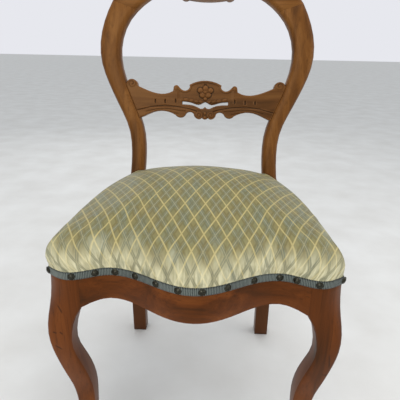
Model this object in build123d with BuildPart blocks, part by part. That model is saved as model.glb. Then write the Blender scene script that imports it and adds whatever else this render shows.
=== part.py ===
"""A balloon back side chair: a joined wooden frame with a sprung, stuffed-over seat.

Millimetres, +Z up, +Y towards the back. The origin is on the floor, under the middle of the chair's
outer box. Left and right are as seen from the front.
"""
from build123d import *
import os
from math import atan, cos, hypot, pi, sin

os.makedirs("parts", exist_ok=True)

# ---------------------------------------------------------------- driving dimensions

# Seat frame in plan. "Behind" counts from the outer front corners of the front legs.
FRONT_CORNER_Y = -211.0
HALF_FRONT = 220.0  # half the width over the front legs' outer corners
HALF_BACK = 166.5  # half the width over the stiles at the seat
HALF_REAR = 160.0  # half the width of the seat's outline at its back, between the stiles
SEAT_DEPTH = 361.0  # front corners to the stiles' front faces
SIDE_BOW = 12.0  # how far a side rail swells out in its middle
MIDDLE_REACH = 50.0  # how far the front's middle stands ahead of the corners
HOLLOW_X = 127.0  # where the front is hollowed most
HOLLOW_DEPTH = 1.5
CROWN_X = 186.0  # where each front leg's top is fullest
CROWN_REACH = 18.0

# Seat frame in height
RAIL_TOP = 412.0
COVER_LINE = 390.0  # lower edge of cover and gimp
ARCH_MIDDLE = 344.0  # front rail's underside: middle, arches, and where it meets a leg
ARCH_TOP = 349.5
ARCH_TOP_X = 115.0
ARCH_FOOT = 341.0
ARCH_STEPS = 24  # flats along the arches
SIDE_UNDERSIDE = 346.0
WEB_LINE = 356.0  # underside that carries the webbing, rebated up into the rails
WEB_REBATE = 12.0  # width of that rebate
RAIL_THICKNESS = 31.0
REAR_RAIL_THICKNESS = 24.0
COVER_REBATE = 2.6  # the frame is cut back by this much under the cover

# Front legs
LEG_JOINT_X = 172.0  # the front rail ends here
LEG_BLOCK_DEPTH = 36.0  # front corner to the side rail's shoulder
LEG_CHAMFER = 2.5
LEG_FRONT_BOW = 1.0
KNEE_CUT = 300.0  # the flat shoulders for the rails begin here

# Rear legs and stiles
STILE_DEPTH = 33.0  # front to back, by the seat and below
REAR_FOOT_BEHIND = 412.0  # front face of the rear feet
HALF_REAR_FEET = 176.0
STILE_INNER = 134.5  # half the width between the stiles at the seat
SEAT_LINE = 450.0  # where the stiles rise from the seat
SQUARE_TOP = 432.0  # the stiles are square below this height, and rounded above it
RAKE = 0.18  # how far the back leans for each unit of height
BACK_THICKNESS = 29.0
FRONT_ROUND = 11.5  # rounding of the balloon's front edges
ROUND_STEPS = 3  # flats in that rounding
STILE_STEPS = 18  # flats along each stile
CREST_STEPS = 18
BACK_CHAMFER = 4.0

# Joints
TENON_THICKNESS = 9.0
FRONT_TENON = 24.0
SIDE_TENON = 20.0
REAR_TENON = 9.0
TENON_SHOULDER = 8.0  # left above and below each seat rail's tenon
CROSS_TENON = ((140, 592), (140, 624), (182, 624), (169, 592))  # half width and height
DOWEL_RADIUS = 4.5
DOWEL_LENGTH = 44.0
DOWEL_SPACING = 22.0

SCREW_RADIUS = 2.0
SCREW_SIDES = 6  # screws and their holes are drawn with flats
SCREW_HEAD_RADIUS = 4.0
SCREW_HEAD = 2.6
SCREW_SPACING = 22.0
FRONT_SCREW_GRIP = 16.0  # how deep the screws go into a post
REAR_SCREW_GRIP = 7.0
BLOCK_DEPTH = 38.0  # from a post's corner to the block's long face
BLOCK_TALL = 44.0

# Carving
CROSS_THICKNESS = 19.0
CROSS_BACKSET = 4.0  # the cross rail's face lies behind the balloon's
CARVING_PROUD = 3.0  # the crest's carved middle stands out this far
PETAL_RADIUS = 5.4
PETAL_RING = 8.6
FLOWER_PROUD = 2.6
CROSS_FLOWER_Z = 624.0
CREST_FLOWER_Z = 856.0

# Seat
SEAT_CROWN = 502.0
CROWN_BEHIND = 192.0  # the seat's highest point
GIMP_HEIGHT = 12.7
GIMP_PROUD = 1.2  # how far the gimp stands out of the show-wood's face
GIMP_SEAT = 0.9  # how far it reaches in behind that face
NAIL_RADIUS = 5.6
NAIL_HEIGHT = 2.8
NAIL_CROWN = 1.8  # how far a head's top is turned down and drawn in
NAIL_LINE = 396.4
FRONT_NAILS_X = (-180.8, -149.5, -119.7, -87.0, -53.7, -20.9, 12.7, 48.0, 87.4, 127.0, 151.5, 182.0)
SIDE_NAILS = 10
SIDE_NAIL_FIRST = 0.086  # as shares of a side's length
SIDE_NAIL_LAST = 0.9
REAR_NAILS = 7
REAR_NAIL_SPACING = 38.0
DUST_COVER_Z = 352.0
DUST_COVER_THICKNESS = 0.8
WEB_WIDTH = 50.0
WEB_THICKNESS = 1.6
LENGTHWISE_X = (-84.0, 0.0, 84.0)  # middle lines of the webbing strips
CROSSWISE_BEHIND = (82.0, 178.0, 274.0)
SPRING_RADIUS = 37.0
SPRING_WAIST = 25.0
SPRING_WIRE = 3.6
SPRING_TURNS = 4.5
SPRING_HEIGHT = 92.0
TWINE_RADIUS = 1.2
BURLAP_THICKNESS = 1.2
CLEARANCE = 0.3  # between soft pieces and the wood they lie beside

# ---------------------------------------------------------------- derived places

BOX = 2000.0  # a length past everything, for cuts that go right through
TILT = atan(RAKE)
GIMP_TOP = COVER_LINE + GIMP_HEIGHT
REAR_RAIL_GAP = 1.0  # the rear rail lies this far behind the stiles' front faces
REAR_RAIL_BACK = SEAT_DEPTH + REAR_RAIL_GAP + REAR_RAIL_THICKNESS
TENON_TALL = RAIL_TOP - SIDE_UNDERSIDE - 2 * TENON_SHOULDER
TENON_MIDDLE_Z = (RAIL_TOP + SIDE_UNDERSIDE) / 2
BLOCK_MIDDLE_Z = (RAIL_TOP + WEB_LINE) / 2


def behind(distance):
    """Y of a point this far behind the front corners."""
    return FRONT_CORNER_Y + distance


def sampled(points, steps):
    """Points along the smooth curve through the given ones, so that what follows it has few flats."""
    curve = Spline(*points, mode=Mode.PRIVATE)
    return [curve @ (i / steps) for i in range(steps + 1)]


def faceted(rings):
    """A solid with flat triangles from each ring of points to the next, and a flat face at each end."""
    triangles = []
    for low, high in zip(rings, rings[1:]):
        for i in range(len(low)):
            j = (i + 1) % len(low)
            triangles += [(low[i], low[j], high[j]), (low[i], high[j], high[i])]
    outlines = [rings[0], *triangles, rings[-1]]
    return Solid(Shell([Face(Wire.make_polygon(outline)) for outline in outlines]))


def front_y(x, wave=1.0):
    """Y of the serpentine front at x: fullest in the middle, hollow beside it, full again at each leg."""
    a = abs(x)
    if a <= HOLLOW_X:
        share = (1 + cos(pi * a / HOLLOW_X)) / 2
        reach = share * (MIDDLE_REACH + HOLLOW_DEPTH) - HOLLOW_DEPTH
    elif a <= CROWN_X:
        share = (1 - cos(pi * (a - HOLLOW_X) / (CROWN_X - HOLLOW_X))) / 2
        reach = share * (CROWN_REACH + HOLLOW_DEPTH) - HOLLOW_DEPTH
    else:
        reach = CROWN_REACH * cos(pi / 2 * (a - CROWN_X) / (HALF_FRONT - CROWN_X))
    return behind(-reach * wave)


def front_normal(x):
    """Unit vector out of the serpentine front at x, in plan."""
    step = 0.5
    slope = (front_y(x + step) - front_y(x - step)) / (2 * step)
    return Vector(slope, -1, 0) / hypot(slope, 1)


FRONT_STEPS = 16  # flats on each half of the front
CORNER_MITRE = (1.0, -0.47)  # how a front corner moves when the outline is let out by one


def draw_plan(scale=1.0, swell=0.0, wave=1.0):
    """Draws the seat's outline in plan, let out by swell all round and then scaled about its crown."""

    def place(x, distance):
        return (x * scale, behind(CROWN_BEHIND + (distance - CROWN_BEHIND) * scale))

    points = []
    for i in range(1 - FRONT_STEPS, FRONT_STEPS):
        x = HALF_FRONT * i / FRONT_STEPS
        out = front_normal(x) * swell
        points.append(place(x + out.X, front_y(x, wave) - behind(0) + out.Y))
    corner_x = HALF_FRONT + CORNER_MITRE[0] * swell
    corner_behind = CORNER_MITRE[1] * swell
    middle = ((HALF_FRONT + HALF_REAR) / 2 + SIDE_BOW + swell, REAR_RAIL_BACK / 2)
    rear = (HALF_REAR + swell, REAR_RAIL_BACK + swell)
    Polyline(place(-corner_x, corner_behind), *points, place(corner_x, corner_behind))
    ThreePointArc(place(corner_x, corner_behind), place(*middle), place(*rear))
    Line(place(*rear), place(-rear[0], rear[1]))
    ThreePointArc(place(-rear[0], rear[1]), place(-middle[0], middle[1]), place(-corner_x, corner_behind))


def plan_face(inset=0.0):
    """The seat's outline as a face, drawn in by inset on every side."""
    with BuildSketch() as plan:
        with BuildLine():
            draw_plan(swell=-inset)
        make_face()
    return plan.sketch


def raised(face, low, high):
    """A level face made into a solid from one height to another."""
    return extrude(Plane.XY.offset(low) * face, amount=high - low)


SIDE_TENON_X = HALF_BACK - RAIL_THICKNESS / 2
SIDE_TENON_FRONT_X = HALF_FRONT - 1.5 - RAIL_THICKNESS / 2
FRONT_TENON_Y = front_y(LEG_JOINT_X) + RAIL_THICKNESS / 2
REAR_RAIL_Y = behind(REAR_RAIL_BACK - REAR_RAIL_THICKNESS / 2)


def inside_frame(rebate=0.0):
    """The room between the seat rails as a face, let out by a rebate's width on every side."""
    inset = RAIL_THICKNESS - rebate
    rear = REAR_RAIL_Y - REAR_RAIL_THICKNESS / 2 + rebate
    with BuildSketch() as room:
        with BuildLine():
            xs = [LEG_JOINT_X * i / FRONT_STEPS for i in range(-FRONT_STEPS, FRONT_STEPS + 1)]
            front = Polyline(*[(x, front_y(x) + inset) for x in xs])
            middle = ((HALF_FRONT + HALF_REAR) / 2 + SIDE_BOW - inset, behind(REAR_RAIL_BACK / 2))
            right = ThreePointArc((HALF_FRONT - inset, behind(0)), middle, (HALF_BACK - inset, rear))
            left = ThreePointArc(
                (inset - HALF_FRONT, behind(0)), (-middle[0], middle[1]), (inset - HALF_BACK, rear)
            )
            Line(front @ 1, right @ 0)
            Line(right @ 1, left @ 1)
            Line(left @ 0, front @ 0)
        make_face()
    return room.sketch


side_edge = ThreePointArc(
    (HALF_FRONT, behind(0)),
    ((HALF_FRONT + HALF_REAR) / 2 + SIDE_BOW, behind(REAR_RAIL_BACK / 2)),
    (HALF_REAR, behind(REAR_RAIL_BACK)),
    mode=Mode.PRIVATE,
)
SIDE_STEPS = 7  # points along each side of the straight-sided outlines

whole_plan = plan_face()
rail_inside = inside_frame()
web_area = inside_frame(WEB_REBATE)
cover_rebate = raised(Rectangle(BOX, BOX) - plan_face(COVER_REBATE), COVER_LINE, RAIL_TOP + 1)
web_rebate = raised(web_area, 0, WEB_LINE)

# ---------------------------------------------------------------- rear legs with their stiles

# The plane of the balloon's front face; its own Y runs up the rake.
back_plane = Plane(
    origin=(0, behind(SEAT_DEPTH) + RAKE * (SEAT_LINE - RAIL_TOP) + 1.0, SEAT_LINE),
    x_dir=(1, 0, 0),
    z_dir=(0, -cos(TILT), sin(TILT)),
)


def up(height):
    """Distance up the back's plane of a point at this height."""
    return (height - SEAT_LINE) / cos(TILT)


def on_back(*points):
    """Points given as half width and height, set on the back's plane."""
    return [(x, up(z)) for x, z in points]


def seam_at(side):
    """The plane of one joint of stile and crest: its X runs along the seam, its Z out of the stile's end."""
    run = SEAM_OUTER[0] - SEAM_INNER[0]
    rise = up(SEAM_OUTER[1]) - up(SEAM_INNER[1])
    along = back_plane.x_dir * (side * run) + back_plane.y_dir * rise
    out = back_plane.x_dir * (-side * rise) + back_plane.y_dir * run
    middle = (side * (SEAM_INNER[0] + SEAM_OUTER[0]) / 2, (up(SEAM_INNER[1]) + up(SEAM_OUTER[1])) / 2)
    origin = back_plane.from_local_coords((middle[0], middle[1], -BACK_THICKNESS / 2))
    return Plane(origin=origin, x_dir=along, z_dir=out)


# Outlines on the back's plane, as half width and height.
SEAM_INNER = (152.0, 790.0)  # the joint of stile and crest
SEAM_OUTER = (204.0, 808.0)
STILE_START = SQUARE_TOP - 6
STILE_OUTER = (
    (HALF_BACK, STILE_START), (162, 497), (168, 543), (189, 590),
    (211, 635), (229, 686), (231.5, 718), (222, 767),
)
STILE_INNER_EDGE = (
    (STILE_INNER, STILE_START), (130, 497), (134.5, 543), (153, 595),
    (173, 643), (184, 680), (186, 715), (176, 755),
)
seam_plane = seam_at(1)
seam_plane_left = seam_at(-1)


def back_member(inner_line, outer_line, steps):
    """A member of the balloon between two lines, rounded along its front edges and chamfered behind."""
    edge = [(BACK_CHAMFER, -BACK_THICKNESS), (0, BACK_CHAMFER - BACK_THICKNESS)]
    for i in range(ROUND_STEPS + 1):
        angle = pi / 2 * i / ROUND_STEPS
        edge.append((FRONT_ROUND * (1 - cos(angle)), FRONT_ROUND * (sin(angle) - 1)))
    rings = []
    for inner, outer in zip(sampled(on_back(*inner_line), steps), sampled(on_back(*outer_line), steps)):
        inner, outer = back_plane.from_local_coords(inner), back_plane.from_local_coords(outer)
        across = (outer - inner).normalized()
        near = [inner + across * reach + back_plane.z_dir * depth for reach, depth in edge]
        far = [outer - across * reach + back_plane.z_dir * depth for reach, depth in edge]
        rings.append(near + far[::-1])
    return faceted(rings)


def side_profile():
    """The rear leg from the side: a sabre curve below the seat, upright at the rails, then the rake."""
    top = SQUARE_TOP + 4
    top_y = back_plane.origin.Y + RAKE * (top - SEAT_LINE)
    with BuildSketch(Plane.YZ) as profile:
        with BuildLine():
            sabre = (
                (REAR_FOOT_BEHIND, 0), (388, 100), (371, 200),
                (SEAT_DEPTH + 1, 300), (SEAT_DEPTH, SIDE_UNDERSIDE),
            )
            front = Spline(*[(behind(d), z) for d, z in sabre])
            back = Spline(*[(behind(d + STILE_DEPTH), z) for d, z in sabre])
            Polyline(
                front @ 1, (behind(SEAT_DEPTH), RAIL_TOP), (top_y, top),
                (top_y + BACK_THICKNESS / cos(TILT), top), (behind(SEAT_DEPTH + STILE_DEPTH), RAIL_TOP),
                back @ 1,
            )
            Line(front @ 0, back @ 0)
        make_face()
    return profile.sketch


rear_leg_side = side_profile()
rear_screw_plane = Plane(
    origin=(STILE_INNER, behind(SEAT_DEPTH), BLOCK_MIDDLE_Z), x_dir=(0, 0, 1), z_dir=(-1, -1, 0)
)

with BuildPart() as rear_leg_blank:
    # the leg below the seat, sawn from a square post from the front and from the side
    with BuildSketch(Plane.XZ):
        foot_width = HALF_BACK - STILE_INNER
        Polygon(
            (HALF_REAR_FEET, 0), (HALF_BACK, SIDE_UNDERSIDE), (HALF_BACK, SQUARE_TOP + 4),
            (STILE_INNER, SQUARE_TOP + 4), (STILE_INNER, SIDE_UNDERSIDE), (HALF_REAR_FEET - foot_width, 0),
            align=None,
        )
    extrude(amount=BOX, both=True)
    extrude(rear_leg_side, amount=BOX, both=True, mode=Mode.INTERSECT)

with BuildPart() as rear_leg_stile_right:
    # the stile, sawn to the balloon's curve and rounded all along
    add(back_member((*STILE_INNER_EDGE, SEAM_INNER), (*STILE_OUTER, SEAM_OUTER), STILE_STEPS))
    add(rear_leg_blank.part)
    # mortises for the side rail, the rear rail and the cross rail
    with BuildSketch(Plane.XZ.offset(-behind(SEAT_DEPTH))):
        with Locations((SIDE_TENON_X, TENON_MIDDLE_Z)):
            Rectangle(TENON_THICKNESS, TENON_TALL)
    extrude(amount=-SIDE_TENON, mode=Mode.SUBTRACT)
    with BuildSketch(Plane.YZ.offset(STILE_INNER)):
        with Locations((REAR_RAIL_Y, TENON_MIDDLE_Z)):
            Rectangle(TENON_THICKNESS, TENON_TALL)
    extrude(amount=REAR_TENON, mode=Mode.SUBTRACT)
    with BuildSketch(back_plane.offset(-CROSS_BACKSET - CROSS_THICKNESS / 2)):
        Polygon(*on_back(*CROSS_TENON), align=None)
    extrude(amount=TENON_THICKNESS / 2, both=True, mode=Mode.SUBTRACT)
    with BuildSketch(seam_plane):
        with Locations((-DOWEL_SPACING / 2, 0), (DOWEL_SPACING / 2, 0)):
            RegularPolygon(DOWEL_RADIUS, 12)
    extrude(amount=DOWEL_LENGTH / 2, both=True, mode=Mode.SUBTRACT)
    with BuildSketch(rear_screw_plane):
        with Locations((-SCREW_SPACING / 2, 0), (SCREW_SPACING / 2, 0)):
            RegularPolygon(SCREW_RADIUS, SCREW_SIDES)
    extrude(amount=-REAR_SCREW_GRIP, mode=Mode.SUBTRACT)

with BuildPart() as rear_leg_stile_left:
    mirror(rear_leg_stile_right.part, about=Plane.YZ)

# ---------------------------------------------------------------- crest rail


def both_halves(*right_half):
    """A line of points from the right half and its mirror image, through the middle point that comes last."""
    return [*right_half, *[(-x, z) for x, z in right_half[-2::-1]]]


def flower(middle_z, proud):
    """A five-petalled flower's outline on the back's plane, this far in front of it."""
    with BuildSketch(back_plane.offset(proud)) as bloom:
        for i in range(5):
            angle = pi / 2 + 2 * pi * i / 5
            with Locations((PETAL_RING * cos(angle), up(middle_z) + PETAL_RING * sin(angle))):
                RegularPolygon(PETAL_RADIUS, 8)
        with Locations((0, up(middle_z))):
            RegularPolygon(PETAL_RADIUS, 8)
    return bloom.sketch


with BuildPart() as crest_rail:
    crest_inner = both_halves(SEAM_INNER, (124, 813), (90, 830), (45, 841), (0, 844))
    crest_outer = both_halves(SEAM_OUTER, (178, 838), (135, 862), (70, 879), (0, 884))
    add(back_member(crest_inner, crest_outer, CREST_STEPS))
    # the carved middle, which hangs below the arch and rises above it
    with BuildSketch(back_plane.offset(CARVING_PROUD)):
        with BuildLine():
            drop = ThreePointArc(*on_back((-40, 815), (0, 811.5), (40, 815)))
            lobe_right = ThreePointArc(drop @ 1, *on_back((54, 815), (58, 829)))
            shoulder_right = ThreePointArc(lobe_right @ 1, *on_back((50, 858), (54, 884)))
            knob_right = ThreePointArc(shoulder_right @ 1, *on_back((46, 889), (37, 884)))
            top = ThreePointArc(knob_right @ 1, *on_back((0, 897), (-37, 884)))
            knob_left = ThreePointArc(top @ 1, *on_back((-46, 889), (-54, 884)))
            shoulder_left = ThreePointArc(knob_left @ 1, *on_back((-50, 858), (-58, 829)))
            ThreePointArc(shoulder_left @ 1, *on_back((-54, 815), (-40, 815)))
        make_face()
    extrude(amount=-BACK_THICKNESS)
    extrude(flower(CREST_FLOWER_Z, CARVING_PROUD), amount=FLOWER_PROUD)
    with BuildSketch(seam_plane, seam_plane_left):
        with Locations((-DOWEL_SPACING / 2, 0), (DOWEL_SPACING / 2, 0)):
            RegularPolygon(DOWEL_RADIUS, 12)
    extrude(amount=DOWEL_LENGTH / 2, both=True, mode=Mode.SUBTRACT)

with BuildPart() as crest_dowels:
    with BuildSketch(seam_plane, seam_plane_left):
        with Locations((-DOWEL_SPACING / 2, 0), (DOWEL_SPACING / 2, 0)):
            RegularPolygon(DOWEL_RADIUS, 12)
    extrude(amount=DOWEL_LENGTH / 2, both=True)

# ---------------------------------------------------------------- cross rail


def cross_edge(side):
    """Draws the cross rail's outline on one side of the middle, from its top to its bottom."""
    def at(*points):
        return [(side * x, up(z)) for x, z in points]

    crown_line = at((35, 638.6), (34.5, 632.5), (39, 627.8), (45, 626.2), (53, 629.6), (58.5, 635))
    crown = Polyline(*sampled(crown_line, 8))
    hump = ThreePointArc(crown @ 1, *at((64.5, 637.6), (69.5, 632)))
    step = Line(hump @ 1, *at((70.5, 625)))
    top = Polyline(*sampled(at((70.5, 625), (91, 618.8), (122, 624), (149, 635)), 9))
    ear = ThreePointArc(top @ 1, *at((161, 648.6), (173, 640)))
    end = Line(ear @ 1, *at((178, 634)))
    shoulder = Line(end @ 1, *at((152, 566)))
    foot = Line(shoulder @ 1, *at((139, 568.5)))
    belly = Polyline(*sampled(at((139, 568.5), (123, 576), (102, 582.6), (84, 581.8), (64, 574.2)), 9))
    lobe = ThreePointArc(belly @ 1, *at((50, 569.6), (43, 575)))
    notch = ThreePointArc(lobe @ 1, *at((33, 581.6), (24.5, 577.5)))
    Polyline(*sampled(at((24.5, 577.5), (21.5, 570.5), (13.5, 566.4), (6.5, 569.8)), 7))


with BuildPart() as cross_rail:
    with BuildSketch(back_plane.offset(-CROSS_BACKSET)):
        with BuildLine():
            ThreePointArc(*on_back((-35, 638.6), (0, 648), (35, 638.6)))
            ThreePointArc(*on_back((6.5, 569.8), (0, 566.2), (-6.5, 569.8)))
            cross_edge(1)
            cross_edge(-1)
        make_face()
        with BuildLine():
            # the piercing, like a pair of wings
            wing_tops = ((50.5, 604), (41, 603.4), (29, 601.2), (19, 598), (11, 598), (0, 603.4))
            wing_feet = ((50.5, 597.4), (36, 596.9), (21, 594), (10, 589), (5, 588.6), (0, 593))
            Polyline(*sampled(on_back(*both_halves(*wing_tops)), 20))
            Polyline(*sampled(on_back(*both_halves(*wing_feet)), 20))
            Line(*on_back((50.5, 604), (50.5, 597.4)))
            Line(*on_back((-50.5, 604), (-50.5, 597.4)))
        make_face(mode=Mode.SUBTRACT)
    extrude(amount=-CROSS_THICKNESS)
    extrude(flower(CROSS_FLOWER_Z, -CROSS_BACKSET), amount=FLOWER_PROUD)
    # scribed to the stiles, and tenoned into their mortises
    add(rear_leg_stile_right.part, mode=Mode.SUBTRACT)
    add(rear_leg_stile_left.part, mode=Mode.SUBTRACT)

# ---------------------------------------------------------------- front legs

# Height, inner edge, outer edge, and how far behind the corners the front face lies.
LEG_STATIONS = (
    (300, 187.5, 225.5, -18),
    (268, 189.5, 223.0, -16),
    (238, 182.0, 217.0, -10.5),
    (205, 173.0, 209.0, -3),
    (170, 168.5, 201.0, 6),
    (135, 168.5, 197.0, 10),
    (100, 169.5, 195.5, 12),
    (70, 170.5, 195.5, 12),
    (38, 172.0, 199.0, 9),
    (14, 173.0, 206.0, 3),
    (0, 173.0, 207.0, 3),
)
# The same where the leg swells into its block; the front face is bowed here, and its outer end lies back.
KNEE_STATIONS = (
    (RAIL_TOP, 166.0, HALF_FRONT, -13, -CROWN_REACH, 0, 42),
    (376, 166.0, HALF_FRONT, -13, -CROWN_REACH, 0, 42),
    (346, 168.0, 221.5, -14, -18.5, -6, 40),
    (325, 180.0, 224.0, -16, -19, -13, 31),
)


LEG_STEPS = 28  # flats up each front leg


def cut_corner(before, corner, after):
    """The two ends of a small chamfer at a corner of an outline."""
    return [corner + (end - corner).normalized() * LEG_CHAMFER for end in (before, after)]


def leg_ring(height, inner, outer, front_inner, front_middle, front_outer, back):
    """Points round a level cut through the right front leg, with its front face bowed and its corners cut."""
    rear_in, rear_out = Vector(inner, behind(back), height), Vector(outer, behind(back), height)
    front_in = Vector(inner, behind(front_inner), height)
    front_out = Vector(outer, behind(front_outer), height)
    bow = []
    for share in (0.25, 0.5, 0.75):
        reach = (1 - share) * (1 - 2 * share) * front_inner
        reach += 4 * share * (1 - share) * front_middle + share * (2 * share - 1) * front_outer
        bow.append(Vector(inner + (outer - inner) * share, behind(reach), height))
    return [
        *cut_corner(rear_out, rear_in, front_in), *cut_corner(rear_in, front_in, bow[0]), *bow,
        *cut_corner(bow[-1], front_out, rear_out), *cut_corner(front_out, rear_out, rear_in),
    ]


leg_rings = [leg_ring(*row) for row in KNEE_STATIONS]
for z, inner_x, outer_x, front in LEG_STATIONS:
    back = front + outer_x - inner_x
    leg_rings.append(leg_ring(z, inner_x, outer_x, front, front - LEG_FRONT_BOW, front, back))
leg_lines = [sampled(line, LEG_STEPS) for line in zip(*leg_rings)]

front_screw_plane = Plane(
    origin=(LEG_JOINT_X, behind(LEG_BLOCK_DEPTH), BLOCK_MIDDLE_Z), x_dir=(0, 0, 1), z_dir=(-1, 1, 0)
)

with BuildPart() as front_leg_right:
    add(faceted(list(zip(*leg_lines))))
    # flat shoulders for the front rail and the side rail
    with BuildSketch(Plane.XY.offset(KNEE_CUT)):
        with Locations((LEG_JOINT_X, behind(0))):
            Rectangle(BOX, BOX, align=(Align.MAX, Align.CENTER))
        with Locations((0, behind(LEG_BLOCK_DEPTH))):
            Rectangle(BOX, BOX, align=(Align.CENTER, Align.MIN))
    extrude(amount=BOX, mode=Mode.SUBTRACT)
    # cut back under the cover, and mortised for the rails
    add(cover_rebate, mode=Mode.SUBTRACT)
    with BuildSketch(Plane.YZ.offset(LEG_JOINT_X)):
        with Locations((FRONT_TENON_Y, TENON_MIDDLE_Z)):
            Rectangle(TENON_THICKNESS, TENON_TALL)
    extrude(amount=FRONT_TENON, mode=Mode.SUBTRACT)
    with BuildSketch(Plane.XZ.offset(-behind(LEG_BLOCK_DEPTH))):
        with Locations((SIDE_TENON_FRONT_X, TENON_MIDDLE_Z)):
            Rectangle(TENON_THICKNESS, TENON_TALL)
    extrude(amount=FRONT_TENON, mode=Mode.SUBTRACT)
    with BuildSketch(front_screw_plane):
        with Locations((-SCREW_SPACING / 2, 0), (SCREW_SPACING / 2, 0)):
            RegularPolygon(SCREW_RADIUS, SCREW_SIDES)
    extrude(amount=-FRONT_SCREW_GRIP, mode=Mode.SUBTRACT)

with BuildPart() as front_leg_left:
    mirror(front_leg_right.part, about=Plane.YZ)

# ---------------------------------------------------------------- seat rails

with BuildPart() as front_seat_rail:
    with BuildSketch():
        with BuildLine():
            xs = [LEG_JOINT_X * i / FRONT_STEPS for i in range(-FRONT_STEPS, FRONT_STEPS + 1)]
            front = Polyline(*[(x, front_y(x)) for x in xs])
            back = Polyline(*[(x, front_y(x) + RAIL_THICKNESS) for x in xs])
            Line(front @ 0, back @ 0)
            Line(front @ 1, back @ 1)
        make_face()
    extrude(amount=RAIL_TOP)
    with BuildSketch(Plane.XZ):
        with BuildLine():
            Polyline(
                (LEG_JOINT_X, ARCH_FOOT), (LEG_JOINT_X, RAIL_TOP),
                (-LEG_JOINT_X, RAIL_TOP), (-LEG_JOINT_X, ARCH_FOOT),
            )
            arch = (
                (LEG_JOINT_X, ARCH_FOOT), (150, 348), (ARCH_TOP_X, ARCH_TOP), (60, 344.6), (0, ARCH_MIDDLE),
            )
            Polyline(*sampled(both_halves(*arch), ARCH_STEPS))
        make_face()
    extrude(amount=BOX, both=True, mode=Mode.INTERSECT)
    add(cover_rebate, mode=Mode.SUBTRACT)
    add(web_rebate, mode=Mode.SUBTRACT)
    for side in (1, -1):
        with BuildSketch(Plane.YZ.offset(side * LEG_JOINT_X)):
            with Locations((FRONT_TENON_Y, TENON_MIDDLE_Z)):
                Rectangle(TENON_THICKNESS, TENON_TALL)
        extrude(amount=side * FRONT_TENON)

with BuildPart() as side_seat_rail_right:
    with BuildSketch(Plane.XY.offset(SIDE_UNDERSIDE)):
        add(whole_plan)
        add(rail_inside, mode=Mode.SUBTRACT)
        with Locations((0, behind(LEG_BLOCK_DEPTH))):
            Rectangle(BOX, SEAT_DEPTH - LEG_BLOCK_DEPTH, align=(Align.MIN, Align.MIN), mode=Mode.INTERSECT)
    extrude(amount=RAIL_TOP - SIDE_UNDERSIDE)
    add(cover_rebate, mode=Mode.SUBTRACT)
    add(web_rebate, mode=Mode.SUBTRACT)
    with BuildSketch(Plane.XZ.offset(-behind(LEG_BLOCK_DEPTH))):
        with Locations((SIDE_TENON_FRONT_X, TENON_MIDDLE_Z)):
            Rectangle(TENON_THICKNESS, TENON_TALL)
    extrude(amount=FRONT_TENON)
    with BuildSketch(Plane.XZ.offset(-behind(SEAT_DEPTH))):
        with Locations((SIDE_TENON_X, TENON_MIDDLE_Z)):
            Rectangle(TENON_THICKNESS, TENON_TALL)
    extrude(amount=-SIDE_TENON)

with BuildPart() as side_seat_rail_left:
    mirror(side_seat_rail_right.part, about=Plane.YZ)

with BuildPart() as rear_seat_rail:
    with BuildSketch(Plane.XY.offset(SIDE_UNDERSIDE)):
        with Locations((0, REAR_RAIL_Y)):
            Rectangle(2 * STILE_INNER, REAR_RAIL_THICKNESS)
    extrude(amount=RAIL_TOP - SIDE_UNDERSIDE)
    add(cover_rebate, mode=Mode.SUBTRACT)
    add(web_rebate, mode=Mode.SUBTRACT)
    with BuildSketch(Plane.YZ):
        with Locations((REAR_RAIL_Y, TENON_MIDDLE_Z)):
            Rectangle(TENON_THICKNESS, TENON_TALL)
    extrude(amount=STILE_INNER + REAR_TENON, both=True)

# ---------------------------------------------------------------- corner blocks and their screws


POST_ROOM = 80.0  # larger than any post


def posts(gap):
    """The room that the four posts take in plan, with a gap round them."""
    with BuildSketch() as room:
        with Locations((LEG_JOINT_X - gap, behind(LEG_BLOCK_DEPTH + gap))):
            Rectangle(POST_ROOM, POST_ROOM, align=(Align.MIN, Align.MAX))
        with Locations((STILE_INNER - gap, behind(SEAT_DEPTH - gap))):
            Rectangle(POST_ROOM, POST_ROOM, align=(Align.MIN, Align.MIN))
        mirror(about=Plane.YZ)
    return room.sketch


def straight_sided_frame():
    """The room between the rails and the posts, just clear of the rails, with short straight sides."""
    inset = RAIL_THICKNESS + CLEARANCE
    xs = [LEG_JOINT_X * i / FRONT_STEPS for i in range(FRONT_STEPS + 1)]
    right = [(x, front_y(x) + inset) for x in xs]
    for i in range(SIDE_STEPS):
        spot = side_edge @ ((i + 0.5) / SIDE_STEPS * SEAT_DEPTH / REAR_RAIL_BACK)
        right.append((spot.X - inset, spot.Y))
    right += [(HALF_BACK - inset, behind(SEAT_DEPTH)), (STILE_INNER, behind(SEAT_DEPTH))]
    right.append((STILE_INNER, REAR_RAIL_Y - REAR_RAIL_THICKNESS / 2))
    with BuildSketch() as room:
        Polygon(*right, *[(-x, y) for x, y in right[::-1]], align=None)
        add(posts(0), mode=Mode.SUBTRACT)
    return room.sketch


frame_room = straight_sided_frame()


def corner_block(plane):
    """A block that fills a corner of the frame up to its long face, notched round the post and drilled."""
    x, y = plane.origin.X, plane.origin.Y
    inward = 1 if plane.z_dir.Y > 0 else -1
    reach = BLOCK_DEPTH * 2**0.5
    with BuildPart() as block:
        with BuildSketch(Plane.XY.offset(BLOCK_MIDDLE_Z - BLOCK_TALL / 2)):
            Polygon((x - reach - POST_ROOM, y - inward * POST_ROOM), (x + POST_ROOM, y - inward * POST_ROOM),
                    (x + POST_ROOM, y + inward * (reach + POST_ROOM)), align=None)
            add(frame_room, mode=Mode.INTERSECT)
        extrude(amount=BLOCK_TALL)
        with BuildSketch(plane):
            with Locations((-SCREW_SPACING / 2, 0), (SCREW_SPACING / 2, 0)):
                RegularPolygon(SCREW_RADIUS, SCREW_SIDES)
        extrude(amount=BLOCK_DEPTH, both=True, mode=Mode.SUBTRACT)
    return block.part


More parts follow.
